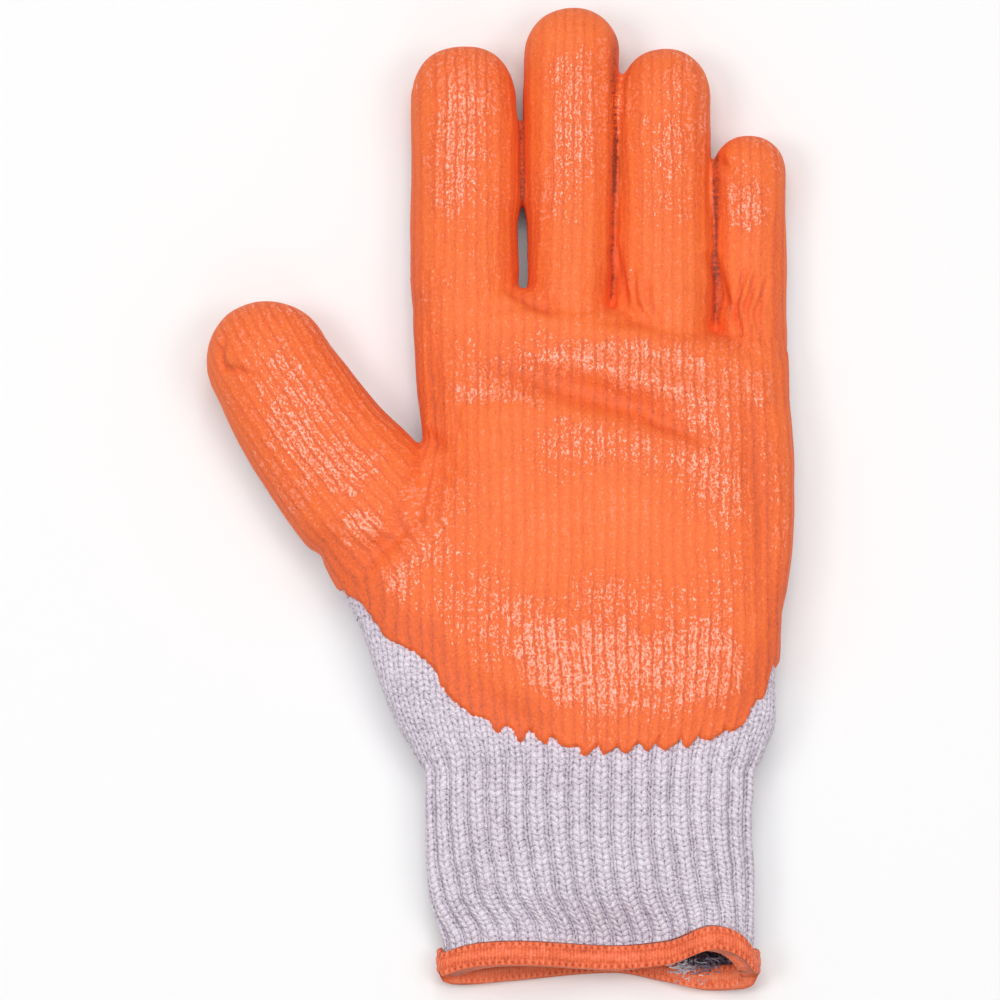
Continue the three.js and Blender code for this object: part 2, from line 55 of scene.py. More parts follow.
def table(columns, *rows):
    """Rows of named values, as a dict for each row."""
    return [dict(zip(columns.split(), row)) for row in rows]


# Walls and clearances, as in the solids
KNIT_WALL = 1.6
COAT_GAP = 0.3
COAT_WALL = 1.0
COAT = COAT_GAP + COAT_WALL
SEAM_GAP = 0.3
FINGER_GAP = 0.7

# Cuff and hem
CUFF_LENGTH = 52
CUFF_WIDTH = 82
CUFF_THICKNESS = 23
CUFF_OFFSET = -2.5
RIB_DEPTH = 1.1
HEM_HEIGHT = 6.4
HEM_WALL = 0.9
HEM_GAP = 0.3
HEM_OUT = HEM_WALL + HEM_GAP

# Hand
WRIST_Y = CUFF_LENGTH
PALM_LENGTH = 120
PALM_THICKNESS = 27
HEEL_LENGTH = 40
KNUCKLE_SLOPE = -0.24
KNUCKLE_ROUNDING = 9
ROOT_OVERLAP = 17
KNUCKLE_WIDTH = 95.2
FINGER_LENGTH = 75.2
FINGER_THICKNESS = 21
PALM_HALF = KNUCKLE_WIDTH / 2
KNIT_PALM_HALF = PALM_HALF - COAT
KNIT_PALM_TOP = PALM_THICKNESS - COAT
FINGERS = table(
    "name root tip reach thick lean",
    ("index", 0.305, 0.93, 0.778, 1, -0.8),
    ("middle", 0.231, 1.126, 1, 1, 1.1),
    ("ring", 0.272, 0.909, 0.934, 0.95, 0.5),
    ("little", 0.192, 1.028, 0.707, 0.81, -0.5),
)
THUMB_WIDTH = 38
THUMB_THICKNESS = 24
THUMB_REACH = 31
THUMB_RISE = 48
THUMB_BOW = 4.5
THUMB_ROOT_UP = 71.5
THUMB_ROOT_OUT = 59
THUMB_OVERLAP = 16
HIDDEN_WIDTH = 0.88
HIDDEN_THUMB_WIDTH = 0.72
HIDDEN_TOP = 0.8
THUMB_FOLD = 19  # how far the fold at the thumb's root slants, measured along the thumb
THUMB_STATIONS = 200  # points on the thumb's middle line
THUMB_STRIDE = 4  # from one point to the next that places on the thumb are measured from

# Dip level and cross-section shape
DIP_LEVEL = 7.5
DIP_TOOTH = 3.0
TIP_LIFT = 3.2
WAIST = 0.46
FLATTENING = 1.35
FINGER_POWER = 2.2
PALM_POWER = 2.7
CUFF_POWER = 2.3
TIP_STRETCH = 1.05
TIP_TURN = 89  # how far round a tip its last ring lies, in degrees
KNUCKLE_TURN = 86  # the same at the palm's end
BLUNT_TIPS = {"index": 0.75, "little": 0.9}

# Knit: the pitch of a column of stitches and of a row of them
WALE = 2.56
COURSE = 1.62
HAND_WALE = 1.12  # how much wider a column is on the palm than on the cuff
FINGER_WALE = 1.04
THUMB_WALE = 1.02
PALM_BEND = 9  # how round the sides are that the columns lie over
FINGER_BEND = 6
THUMB_BEND = 8
RIB_KNIT_SHARE = 0.7  # how much of a rib's pitch its raised column takes
LEG_SLANT = 0.55  # how far along a stitch's legs slant, in rows
STITCH_HEIGHT = 0.25
RIB_RISE = 0.45 * RIB_DEPTH
RIB_SINK = 0.35
HEM_SQUEEZE = -0.5  # how far the hem presses the knit in
HEM_LENGTH = 190  # round the hem
HEM_THREAD = 0.9  # from one turn of the hem's thread to the next
HEM_STITCH = 1.75  # from one stitch of its seams to the next
HEM_SEAMS = (0.86, 0.14)  # where its lines of stitches lie, as shares of its height
HEM_FURROWS = (0.7, 0.3)  # and the furrows beside them
HEM_LINE_HALF = 0.07

# Unevenness, each as strengths, sizes of bumps in millimetres and seeds
UNEVEN_HAND = (0.3, 16, 1), (0.12, 5, 2)
UNEVEN_CUFF = (0.12, 3, 7), (0.3, 12, 8)
UNEVEN_HEM = ((0.12, 6, 32),)
UNEVEN_THREAD = ((0.35, 2.5, 31),)
UNEVEN_EDGE = (0.9, 3.1, 3), (0.7, 1.3, 4)
UNEVEN_DIP = (0.7, 5, 5), (0.35, 1.8, 6)
UNEVEN_FOLDS = ((0.8, 7, 11),), ((0.8, 7, 12),)
UNEVEN_COLUMNS = (0.12, 2.6, 41), (0.25, 22, 42)
UNEVEN_ROWS = (0.3, 2.9, 43), (0.7, 18, 44)
UNEVEN_GLITTER = (0.3, 14, 22), (0.16, 5, 24)
RAGGED_ZONES = (0.9, 9, 21), (0.6, 3, 23)

# How finely the shapes are cut up
TIP_RINGS = 12
KNUCKLE_RINGS = 10
LIMB_STATIONS = 24
FINGER_SIDES_COUNT = 56
THUMB_SIDES_COUNT = 64
PALM_SIDES_COUNT = 160
PALM_STATIONS = 90
RING_STATIONS = 721
WRIST_STATIONS = 400
INSIDE_ROWS = 30
SKIN_STEP = 0.62
INSIDE_STEP = 1.6
KNIT_STEP = 0.45

FINGER_SHAPE = table(
    "along change thickness lift",
    (0, 0, 1.06, 0),
    (0.28, 0.25, 0.98, 0),
    (0.62, 0.8, 0.96, 0.2),
    (1, 1, 0.95, 1),
)
# Where a finger's side stands further out or in than its plain shape, from one height to another, and
# how far each such end takes to fade
SIDE_FADE = 4
FINGER_SIDES = table(
    "finger side low high out",
    ("index", 1, 172, 196, -0.9),
    ("index", 1, 198, 220, 0.8),
    ("middle", -1, 172, 196, -0.7),
    ("middle", 1, 180, 228, 0.6),
    ("ring", -1, 180, 226, 0.5),
    ("ring", 1, 178, 208, 0.6),
    ("little", -1, 178, 206, 0.5),
)
THUMB_SHAPE = table(
    "along width thickness lift",
    (0, 1.0, 1.06, 0),
    (0.4, 0.93, 0.98, 0.1),
    (0.72, 0.87, 0.94, 0.5),
    (1, 0.8, 0.9, 1),
)
WRIST_LEFT = CUFF_WIDTH / 2 - CUFF_OFFSET
WRIST_RIGHT = CUFF_WIDTH / 2 + CUFF_OFFSET
PALM_SHAPE = table(
    "along thumbSide littleSide thickness",
    (0, WRIST_LEFT / KNIT_PALM_HALF, WRIST_RIGHT / KNIT_PALM_HALF, CUFF_THICKNESS / KNIT_PALM_TOP),
    (0.055, 1.0, 0.89, 0.92),
    (0.13, 1.11, 0.95, 0.96),
    (0.22, 1.2, 0.945, 1.0),
    (0.32, 1.29, 0.95, 1.03),
    (0.41, 1.4, 0.99, 1.03),
    (0.48, 1.47, 1.015, 1.02),
    (0.57, 1.22, 1.03, 1.0),
    (0.68, 0.93, 1.03, 0.98),
    (0.8, 0.96, 1.02, 0.95),
    (0.91, 0.98, 1.01, 0.88),
)
CUFF_SHAPE = table(
    "along thumbSide littleSide gape",
    (0, 0.9, 1, 1),
    (0.135, 0.9, 1, 1),
    (0.4, 0.97, 1, 0.45),
    (0.75, 1, 0.99, 0.1),
    (1, 1, 1, 0),
)
CUFF_END = table(
    "across height front back",
    (-1, 0.55, 0.07, 0.075),
    (-0.965, 0.58, 0.075, 0.035),
    (-0.9, 0.62, 0.08, 0.025),
    (-0.55, 0.72, 0.088, 0.046),
    (0.1, 0.42, 0.079, 0.085),
    (0.42, 0.6, 0.092, 0.042),
    (0.72, 1.0, 0.152, 0),
    (0.9, 0.98, 0.155, 0),
    (0.965, 0.92, 0.13, 0.015),
    (1, 0.85, 0.1, 0.06),
)
DENTS = table(
    "name x y length width turn depth",
    ("hollow", 0.15, 0.45, 0.55, 0.42, -10, 0.15),
    ("grip_fold", 0.02, 0.79, 0.55, 0.1, -18, 0.12),
    ("thumb_fold", -1.02, 0.565, 0.45, 0.11, 56, 0.12),
    ("wrist_fold", -0.5, 0.13, 0.3, 0.1, -38, 0.07),
)
DIP_EDGE = table(
    "across up",
    (-1.6, 0.44),
    (-1.32, 0.377),
    (-1.12, 0.285),
    (-0.92, 0.226),
    (-0.76, 0.15),
    (-0.57, 0.092),
    (-0.34, 0.062),
    (0, 0.032),
    (0.32, 0.038),
    (0.6, 0.068),
    (0.74, 0.088),
    (0.86, 0.15),
    (0.93, 0.22),
    (1.2, 0.4),
)


# Numbers


def curve(table, key, column):
    """A smooth line through one column of a table, which never overshoots its rows."""
    at = np.array([row[key] for row in table], float)
    value = np.array([row[column] for row in table], float)
    step = np.diff(at)
    rise = np.diff(value) / step
    same = rise[:-1] * rise[1:] > 0
    slope = np.zeros_like(value)
    slope[1:-1] = np.where(same, 2 * rise[:-1] * rise[1:] / np.where(same, rise[:-1] + rise[1:], 1), 0)

    def evaluate(x):
        x = np.clip(x, at[0], at[-1])
        i = np.clip(np.searchsorted(at, x) - 1, 0, len(step) - 1)
        t = (x - at[i]) / step[i]
        start = (1 + 2 * t) * (1 - t) ** 2 * value[i] + t * (1 - t) ** 2 * step[i] * slope[i]
        return start + t * t * (3 - 2 * t) * value[i + 1] + t * t * (t - 1) * step[i] * slope[i + 1]

    return evaluate


def curves(rows, key="along"):
    """A smooth line through each column of a table."""
    return {column: curve(rows, key, column) for column in rows[0] if column != key}


def smoothstep(x, low, high):
    t = np.clip((x - low) / (high - low), 0, 1)
    return t * t * (3 - 2 * t)


def mix(a, b, t):
    return a + (b - a) * t


def wave(x):
    """1 at each whole number and 0 halfway between two of them."""
    return 0.5 + 0.5 * np.cos(2 * np.pi * x)


def hashed(*cells):
    """A number from 0 to 1 for each whole-number cell, the same in every run."""
    mixed = np.zeros_like(cells[0], dtype=np.uint64)
    for k, cell in enumerate(cells):
        mixed ^= (cell.astype(np.int64) + 40000).astype(np.uint64) * np.uint64(0x9E3779B1 + 0x85EBCA77 * k)
        mixed = (mixed ^ (mixed >> np.uint64(15))) * np.uint64(0x2C1B3C6D)
    return ((mixed >> np.uint64(11)) & np.uint64(0xFFFF)).astype(float) / 0xFFFF


def noise(points, size, seed):
    """Smooth noise from -1 to 1 with bumps of about the given size."""
    p = points / size + 17.3 * (seed + 1)
    cell = np.floor(p)
    t = p - cell
    t = t * t * (3 - 2 * t)
    total = 0
    for corner in range(8):
        offset = np.array([corner & 1, corner >> 1 & 1, corner >> 2 & 1])
        weight = np.prod(np.where(offset, t, 1 - t), axis=1)
        total = total + weight * hashed(*(cell + offset).T)
    return 2 * total - 1


def uneven(points, terms):
    """Noises added up. Each has a strength, a size of bumps in millimetres and a seed."""
    return sum(strength * noise(points, size, seed) for strength, size, seed in terms)


def bend(value, power):
    return np.sign(value) * np.abs(value) ** (2 / power)


def section(angle, left, right, top, floor, power, grow):
    """One cross-section: across and up, across before it grew, and how far up the palm's side."""
    waist = floor + (top - floor) * WAIST
    c = bend(np.cos(angle), power)
    s = bend(np.sin(angle), power)
    under = np.maximum(floor - grow, waist + (waist - floor + grow) * FLATTENING * s)
    up = np.where(s > 0, waist + (top + grow - waist) * s, under)
    base = (right - left) / 2 + (right + left) / 2 * c
    return base + grow * c, base, up, np.maximum(0, s)


def in_oval(x, y, oval):
    """Each point's place in a turned oval, in its half lengths and half widths."""
    turn = math.radians(oval["turn"])
    dx, dy = x - oval["x"], y - oval["y"]
    u = (dx * math.cos(turn) + dy * math.sin(turn)) / oval["length"]
    v = (dy * math.cos(turn) - dx * math.sin(turn)) / oval["width"]
    return u, v


# The dents' places and sizes, turned from shares of the palm into millimetres
for dent in DENTS:
    dent["x"] *= KNIT_PALM_HALF
    dent["y"] = WRIST_Y + dent["y"] * PALM_LENGTH
    dent["length"] *= KNIT_PALM_HALF
    dent["width"] *= KNIT_PALM_HALF


def dent_at(x, y):
    """How deep the solids' main dents are at each place."""
    depth = 0
    for dent in DENTS:
        u, v = in_oval(x, y, dent)
        depth = depth + dent["depth"] * PALM_THICKNESS * np.exp(-u * u - v * v)
    return depth


# Limbs


def finger_roots():
    """Where each finger starts on the knuckles, with its sizes in millimetres."""
    edge = -PALM_HALF
    rows = []
    for f in FINGERS:
        width = f["root"] * (KNUCKLE_WIDTH - FINGER_GAP * (len(FINGERS) - 1))
        x = edge + width / 2
        edge += width + FINGER_GAP
        y = WRIST_Y + PALM_LENGTH + KNUCKLE_SLOPE * x
        sizes = (width, width * f["tip"], FINGER_LENGTH * f["reach"], FINGER_THICKNESS * f["thick"])
        rows.append((f["name"], x, y, *sizes, math.radians(f["lean"])))
    return table("name x y root_width tip_width length thickness lean", *rows)


ROOTS = finger_roots()


def run_along(points):
    """How far along a line through several points each of them is."""
    return np.concatenate([[0], np.cumsum(np.linalg.norm(np.diff(points, axis=0), axis=1))])


def thumb_line():
    """Points along the thumb's middle line and how far along it each one is."""
    start = np.array([-THUMB_ROOT_OUT, WRIST_Y + THUMB_ROOT_UP])
    end = start + np.array([-THUMB_REACH, THUMB_RISE])
    middle = start + np.array([-THUMB_REACH / 2 - THUMB_BOW * 0.8, THUMB_RISE / 2 - THUMB_BOW * 0.6])
    t = np.linspace(0, 1, THUMB_STATIONS)[:, None]
    points = (1 - t) ** 2 * start + 2 * t * (1 - t) * middle + t * t * end
    return points, run_along(points)


THUMB_POINTS, THUMB_RUN = thumb_line()
THUMB_LENGTH = THUMB_RUN[-1]
THUMB_AHEAD = np.gradient(THUMB_POINTS, THUMB_RUN, axis=0)
THUMB_AHEAD /= np.linalg.norm(THUMB_AHEAD, axis=1)[:, None]


def place_thumb(along, across, up):
    on = np.clip(along, 0, THUMB_LENGTH)
    ahead = np.stack([np.interp(on, THUMB_RUN, THUMB_AHEAD[:, k]) for k in (0, 1)], -1)
    point = np.stack([np.interp(on, THUMB_RUN, THUMB_POINTS[:, k]) for k in (0, 1)], -1)
    point = point + ahead * (along - on)[..., None]
    side = np.stack([ahead[..., 1], -ahead[..., 0]], -1)
    flat = point + side * across[..., None]
    return np.concatenate([flat, up[..., None]], -1)


def place_finger(finger):
    cos, sin = math.cos(finger["lean"]), math.sin(finger["lean"])

    def place(along, across, up):
        x = finger["x"] + across * cos + along * sin
        y = finger["y"] + along * cos - across * sin
        return np.stack([x, y, up], -1)

    return place


def in_finger(finger, points):
    """How far along and across a finger each point is."""
    cos, sin = math.cos(finger["lean"]), math.sin(finger["lean"])
    dx, dy = points[:, 0] - finger["x"], points[:, 1] - finger["y"]
    return dx * sin + dy * cos, dx * cos - dy * sin


def in_thumb(points):
    """How far along and across the thumb each point is, from the nearest place on its middle line."""
    flat = points[:, :2]
    best = np.full(len(flat), np.inf)
    along, across = np.zeros(len(flat)), np.zeros(len(flat))
    for k in range(0, THUMB_STATIONS, THUMB_STRIDE):
        ahead = THUMB_AHEAD[k]
        d = flat - THUMB_POINTS[k]
        forward = d @ ahead
        off = np.abs(forward)
        if k == 0:
            off = np.where(forward < 0, 0, off)
        if k >= THUMB_STATIONS - THUMB_STRIDE:
            off = np.where(forward > 0, 0, off)
        nearer = off < best
        best = np.where(nearer, off, best)
        along = np.where(nearer, THUMB_RUN[k] + forward, along)
        across = np.where(nearer, d @ np.array([ahead[1], -ahead[0]]), across)
    return along, across


# Lofts


def tube_faces(rows, columns):
    """The four-sided faces between rows of equally many points."""
    row, column = np.meshgrid(np.arange(rows - 1), np.arange(columns), indexing="ij")
    a = (row * columns + column).ravel()
    b = (row * columns + (column + 1) % columns).ravel()
    return np.stack([a, a + columns, b + columns, b], 1)


def loft(rings):
    """Points and faces of a closed solid through rings of equally many points."""
    rows, columns = rings.shape[:2]
    quads = tube_faces(rows, columns)[:, [0, 3, 2, 1]]
    ends = [range(columns)[::-1], range((rows - 1) * columns, rows * columns)]
    return rings.reshape(-1, 3), [tuple(face) for face in (*quads, *ends)]


def limb(stations, tip, blunt, place, grow, sides):
    """Rings along a limb that ends in a round tip, squarer where blunt is below 1."""
    angle = np.linspace(0, 2 * np.pi, sides, endpoint=False)[None, :]
    turn = np.linspace(0, 1, TIP_RINGS)[1:] * math.radians(TIP_TURN)
    add = np.concatenate([np.zeros(len(stations["along"])), (tip + grow) * np.sin(turn)])[:, None]
    shrink = np.concatenate([np.ones(len(stations["along"])), np.cos(turn) ** blunt])[:, None]
    along, left, right, top, floor = (
        np.concatenate([stations[k], np.full(len(turn), stations[k][-1])])[:, None]
        for k in ("along", "left", "right", "top", "floor")
    )
    across, base, up, raised = section(angle, left, right, top, floor, FINGER_POWER, grow)
    waist = floor + (top - floor) * WAIST
    along = np.broadcast_to(along, across.shape)
    points = place(along + add, across * shrink, waist + (up - waist) * shrink)
    bases = place(along, base * shrink, up)
    points[..., 2] -= dent_at(bases[..., 0], bases[..., 1]) * raised
    return points


def side_move(finger, side, y):
    """How far a finger's side is moved out at each height."""
    move = np.zeros_like(y)
    for row in FINGER_SIDES:
        if row["finger"] == finger["name"] and row["side"] == side:
            rise = smoothstep(y, row["low"] - SIDE_FADE, row["low"] + SIDE_FADE)
            move += row["out"] * rise * (1 - smoothstep(y, row["high"] - SIDE_FADE, row["high"] + SIDE_FADE))
    return move


def limb_stations(overlap, along, hidden, left, right, lift, root_top, height):
    """A limb's widths and heights along it, after one hidden station inside the palm."""
    return {
        "along": np.concatenate([[-overlap], along]),
        "left": np.concatenate([[hidden], left]),
        "right": np.concatenate([[hidden], right]),
        "floor": np.concatenate([[0], TIP_LIFT * lift]),
        "top": np.concatenate([[root_top], TIP_LIFT * lift + height]),
    }


def finger_limb(finger, grow):
    knit_top = finger["thickness"] - COAT
    root_half = finger["root_width"] / 2 - COAT
    tip_half = finger["tip_width"] / 2 - COAT
    tip = tip_half * TIP_STRETCH
    share = np.linspace(0, 1, LIMB_STATIONS)
    along = share * (finger["length"] - COAT - tip)
    change, thickness, lift = (line(share) for line in curves(FINGER_SHAPE).values())
    half = mix(root_half, tip_half, change)
    left, right = (half + side_move(finger, side, finger["y"] + along) for side in (-1, 1))
    hidden = root_half * HIDDEN_WIDTH
    root_top = KNIT_PALM_TOP * HIDDEN_TOP
    stations = limb_stations(ROOT_OVERLAP, along, hidden, left, right, lift, root_top, knit_top * thickness)
    blunt = BLUNT_TIPS.get(finger["name"], 1)
    return limb(stations, tip, blunt, place_finger(finger), grow, FINGER_SIDES_COUNT)


def thumb_limb(grow):
    full = THUMB_WIDTH / 2 - COAT
    tip = full * THUMB_SHAPE[-1]["width"] * TIP_STRETCH
    share = np.linspace(0, 1, LIMB_STATIONS)
    along = share * (THUMB_LENGTH - COAT - tip)
    width, thickness, lift = (line(share) for line in curves(THUMB_SHAPE).values())
    knit_top = THUMB_THICKNESS - COAT
    half = full * width
    hidden = full * HIDDEN_THUMB_WIDTH
    root_top = knit_top * THUMB_SHAPE[0]["thickness"]
    stations = limb_stations(THUMB_OVERLAP, along, hidden, half, half, lift, root_top, knit_top * thickness)
    return limb(stations, tip, 1, place_thumb, grow, THUMB_SIDES_COUNT)


palm_curves = curves(PALM_SHAPE)


def palm_sides(share):
    """The palm's reach to the thumb's side and to the little finger's, and its height."""
    left = KNIT_PALM_HALF * palm_curves["thumbSide"](share)
    right = KNIT_PALM_HALF * palm_curves["littleSide"](share)
    return left, right, KNIT_PALM_TOP * palm_curves["thickness"](share)


def palm_section(angle, along, grow, shrink=1):
    """Points round the palm at a height above the wrist."""
    share = along / PALM_LENGTH
    left, right, top = palm_sides(share)
    power = mix(CUFF_POWER, PALM_POWER, smoothstep(share, 0, 0.055))
    across, base, up, raised = section(angle, left, right, top, 0, power, grow)
    waist = top * WAIST
    y = WRIST_Y + along + KNUCKLE_SLOPE * base * smoothstep(share, 0.5, 1)
    up = waist + (up - waist) * shrink
    return np.stack([across, np.broadcast_to(y, across.shape), up - dent_at(base, y) * raised], -1)


def palm_rings(grow):
    """Rings from a little below the wrist to the rounded knuckles."""
    angle = np.linspace(0, 2 * np.pi, PALM_SIDES_COUNT, endpoint=False)[None, :]
    body = np.linspace(-RUN_OUT, PALM_LENGTH - COAT - KNUCKLE_ROUNDING, PALM_STATIONS)
    turn = np.linspace(0, 1, KNUCKLE_RINGS)[1:] * math.radians(KNUCKLE_TURN)
    along = np.concatenate([body, body[-1] + (KNUCKLE_ROUNDING + grow) * np.sin(turn)])[:, None]
    shrink = np.concatenate([np.ones(len(body)), np.cos(turn)])[:, None]
    return palm_section(angle, along, grow, shrink)


# Meshes


def linked(name, data):
    """A new object in the scene, with the given mesh, light or camera."""
    obj = bpy.data.objects.new(name, data)
    bpy.context.scene.collection.objects.link(obj)
    return obj


def new_object(name, points, faces, smooth=False):
    mesh = bpy.data.meshes.new(name)
    mesh.from_pydata(points, [], faces, shade_flat=not smooth)
    return linked(name, mesh)


def mesh_arrays(mesh):
    points = np.empty(len(mesh.vertices) * 3, np.float32)
    mesh.vertices.foreach_get("co", points)
    mesh.calc_loop_triangles()
    triangles = np.empty(len(mesh.loop_triangles) * 3, np.int32)
    mesh.loop_triangles.foreach_get("vertices", triangles)
    return points.reshape(-1, 3).astype(float), triangles.reshape(-1, 3)


def skin(grow, step, rounds):
    """One smooth closed surface over the palm and all the limbs, grown out by some millimetres."""
    points, faces = [], []
    count = 0
    for rings in [palm_rings(grow), thumb_limb(grow), *(finger_limb(f, grow) for f in ROOTS)]:
        p, f = loft(rings)
        points.append(p)
        faces += [tuple(i + count for i in face) for face in f]
        count += len(p)
    obj = new_object("skin", np.concatenate(points), faces)
    voxels = obj.modifiers.new("Remesh", "REMESH")
    voxels.mode = "VOXEL"
    voxels.voxel_size = step
    relax = obj.modifiers.new("Smooth", "SMOOTH")
    relax.factor = 0.5
    relax.iterations = rounds
    evaluated = obj.evaluated_get(bpy.context.evaluated_depsgraph_get())
    arrays = mesh_arrays(evaluated.to_mesh())
    evaluated.to_mesh_clear()
    bpy.data.objects.remove(obj)
    return arrays


def normals_of(points, triangles):
    a, b, c = (points[triangles[:, k]] for k in range(3))
    face = np.cross(b - a, c - a)
    total = np.zeros_like(points)
    for k in range(3):
        for axis in range(3):
            total[:, axis] += np.bincount(triangles[:, k], face[:, axis], len(points))
    return total / np.maximum(np.linalg.norm(total, axis=1), 1e-12)[:, None]


def quad_normals(points, quads):
    return normals_of(points, np.concatenate([quads[:, [0, 1, 2]], quads[:, [0, 2, 3]]]))


def clipped(points, triangles, field, extra):
    """The part of a mesh where field is above 0, cut through its triangles, with its extra columns."""
    inside = field > 0
    kind = inside[triangles].sum(1)
    whole = triangles[kind == 3]
    cut = triangles[(kind > 0) & (kind < 3)]
    single = inside[cut].sum(1) == 1
    lone = np.where(single[:, None], inside[cut], ~inside[cut]).argmax(1)
    rolled = np.take_along_axis(cut, (lone[:, None] + np.arange(3)) % 3, 1)
    edges = np.concatenate([rolled[:, [0, 1]], rolled[:, [0, 2]]])
    ordered = np.sort(edges, 1)
    unique, inverse = np.unique(ordered, axis=0, return_inverse=True)
    inverse = inverse.ravel()
    a, b = unique[:, 0], unique[:, 1]
    t = (field[a] / (field[a] - field[b]))[:, None]
    columns = np.concatenate([points, extra], 1)
    columns = np.concatenate([columns, mix(columns[a], columns[b], t)])
    first = inverse[: len(rolled)] + len(points)
    second = inverse[len(rolled) :] + len(points)
    ones = np.stack([rolled[:, 0], first, second], 1)[single]
    lower = np.stack([first, rolled[:, 1], rolled[:, 2]], 1)[~single]
    upper = np.stack([first, rolled[:, 2], second], 1)[~single]
    faces = np.concatenate([whole, ones, lower, upper])
    used, faces = np.unique(faces, return_inverse=True)
    faces = faces.reshape(-1, 3)
    return columns[used, :3], faces, columns[used, 3:]


def make_piece(name, points, faces, values, material, nodes):
    """A named piece in the scene, in metres. The values are one a point, or one a face's corner."""
    obj = new_object(name, (points + FRAME_SHIFT) * METRES, faces, smooth=True)
    for key, column in values.items():
        domain = "POINT" if column.size == len(points) else "CORNER"
        attribute = obj.data.attributes.new(key, "FLOAT", domain)
        attribute.data.foreach_set("value", column.astype(np.float32).ravel())
    obj.data.materials.append(material)
    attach(obj, "root")
    if nodes:
        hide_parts(*nodes)


# Stitches


def wrapped(across, half, height, rounding):
    """Distance round a section from its middle line, the same on the palm's side and on the back."""
    beyond = np.maximum(np.abs(across) - (half - rounding), 0)
    turned = np.arctan2(beyond, np.maximum(np.abs(height), 1e-6))
    flat = np.minimum(np.abs(across), half - rounding)
    return np.sign(across) * (flat + rounding * turned)


PITCH_SHAPE = table(
    "y wale",
    (0, 1.0),
    (WRIST_Y, 1.0),
    (WRIST_Y + 20, 1.1),
    (WRIST_Y + HEEL_LENGTH, HAND_WALE),
)
wale_growth = curve(PITCH_SHAPE, "y", "wale")


def palm_stitches(points, half, waist):
    """Which column and row of stitches each point of the palm, the heel or the cuff lies in."""
    round_section = wrapped(points[:, 0], half, points[:, 2] - waist, PALM_BEND)
    return round_section / (WALE * wale_growth(points[:, 1])) + 0.5, points[:, 1] / COURSE


def uneven_stitches(points):
    """How far, in stitches, a hand-made look shifts the columns and the rows."""
    return np.stack([uneven(points, UNEVEN_COLUMNS), uneven(points, UNEVEN_ROWS)], 1)


def finger_stitches(finger, points):
    along, across = in_finger(finger, points)
    half = mix(finger["root_width"], finger["tip_width"], smoothstep(along / finger["length"], 0, 0.7)) / 2
    around = wrapped(across, half, points[:, 2] - finger["thickness"] * WAIST, FINGER_BEND)
    column = finger["x"] / (WALE * HAND_WALE) + around / (WALE * FINGER_WALE) + 0.5
    return column, (finger["y"] + along) / COURSE


def thumb_stitches(points):
    along, across = in_thumb(points)
    around = wrapped(across, THUMB_WIDTH * 0.46, points[:, 2] - THUMB_THICKNESS * WAIST, THUMB_BEND)
    return around / (WALE * THUMB_WALE) + 0.5, along / COURSE


THUMB_REGION = len(FINGERS) + 1
OUTER_REACH = 10  # how far an outer finger's stitches reach past its free side


def past_fold(along, across):
    """How far along the thumb a place lies past the slanting fold at its root."""
    return along - THUMB_FOLD * (across / THUMB_WIDTH - 0.5)


def region_of(points):
    """Which run of stitches a point belongs to: 0 for the palm, then one for each finger and the thumb's."""
    region = np.zeros(len(points), int)
    for k, finger in enumerate(ROOTS):
        along, across = in_finger(finger, points)
        half = max(finger["root_width"], finger["tip_width"]) / 2 + 0.4
        free = half + OUTER_REACH * (finger in (ROOTS[0], ROOTS[-1]))
        region[(along > 0) & (np.abs(across) < np.where(across * finger["x"] > 0, free, half))] = k + 1
    along, across = in_thumb(points)
    beside_palm = points[:, 0] < -0.85 * PALM_HALF
    on_thumb = (past_fold(along, across) > 0) & (np.abs(across) < THUMB_WIDTH * 0.7)
    region[on_thumb & beside_palm] = THUMB_REGION
    return region


def stitch_places(points):
    """Column and row of stitches of each point, in every run of stitches."""
    left, right, top = palm_sides(np.clip((points[:, 1] - WRIST_Y) / PALM_LENGTH, 0, 1))
    side = np.where(points[:, 0] < 0, left, right)
    over_heel = smoothstep(points[:, 1], WRIST_Y + HEEL_LENGTH, WRIST_Y + HEEL_LENGTH + 25)
    side = mix(side, KNIT_PALM_HALF, over_heel)
    runs = [palm_stitches(points, side, top * WAIST)]
    runs += [finger_stitches(finger, points) for finger in ROOTS]
    runs.append(thumb_stitches(points))
    shift = uneven_stitches(points)
    return np.concatenate([np.stack(run, 1) + shift for run in runs], 1)


def corner_stitches(points, faces, places):
    """Column and row at each face's corners, in the run of stitches that the face belongs to."""
    first = 2 * region_of(points[faces].mean(1))[:, None, None] + np.zeros((1, 3, 1), int)
    return (np.take_along_axis(places[faces], first + k, 2)[..., 0] for k in (0, 1))


def hand_fields(points):
    """Stitches, their column, height above the dip's level and share along the limb of each point.

    The last of the five falls to 0 on the fold at the thumb's root.
    """
    places = stitch_places(points)
    region = region_of(points)
    column = np.take_along_axis(places, 2 * region[:, None], 1)[:, 0]
    share = np.full(len(points), -1.0)
    for k, finger in enumerate(ROOTS):
        along, across = in_finger(finger, points)
        share = np.where(region == k + 1, along / finger["length"], share)
    along, across = in_thumb(points)
    share = np.where(region == THUMB_REGION, along / THUMB_LENGTH, share)
    dip = points[:, 2] - DIP_LEVEL * dip_fall(np.maximum(share, 0))
    seam = np.minimum(np.abs(past_fold(along, across)) / 3, 1)
    return places, column, dip, share, seam


# How much of the dip's level is left along a finger or the thumb
DIP_FALL = table("share level", (0, 1.0), (0.45, 0.85), (0.72, 0.45), (0.84, -0.4), (0.95, -2.5))
dip_fall = curve(DIP_FALL, "share", "level")
edge_places = [(row["across"] * PALM_HALF, WRIST_Y + row["up"] * PALM_LENGTH) for row in DIP_EDGE]
edge_line = curve(table("x y", *edge_places), "x", "y")


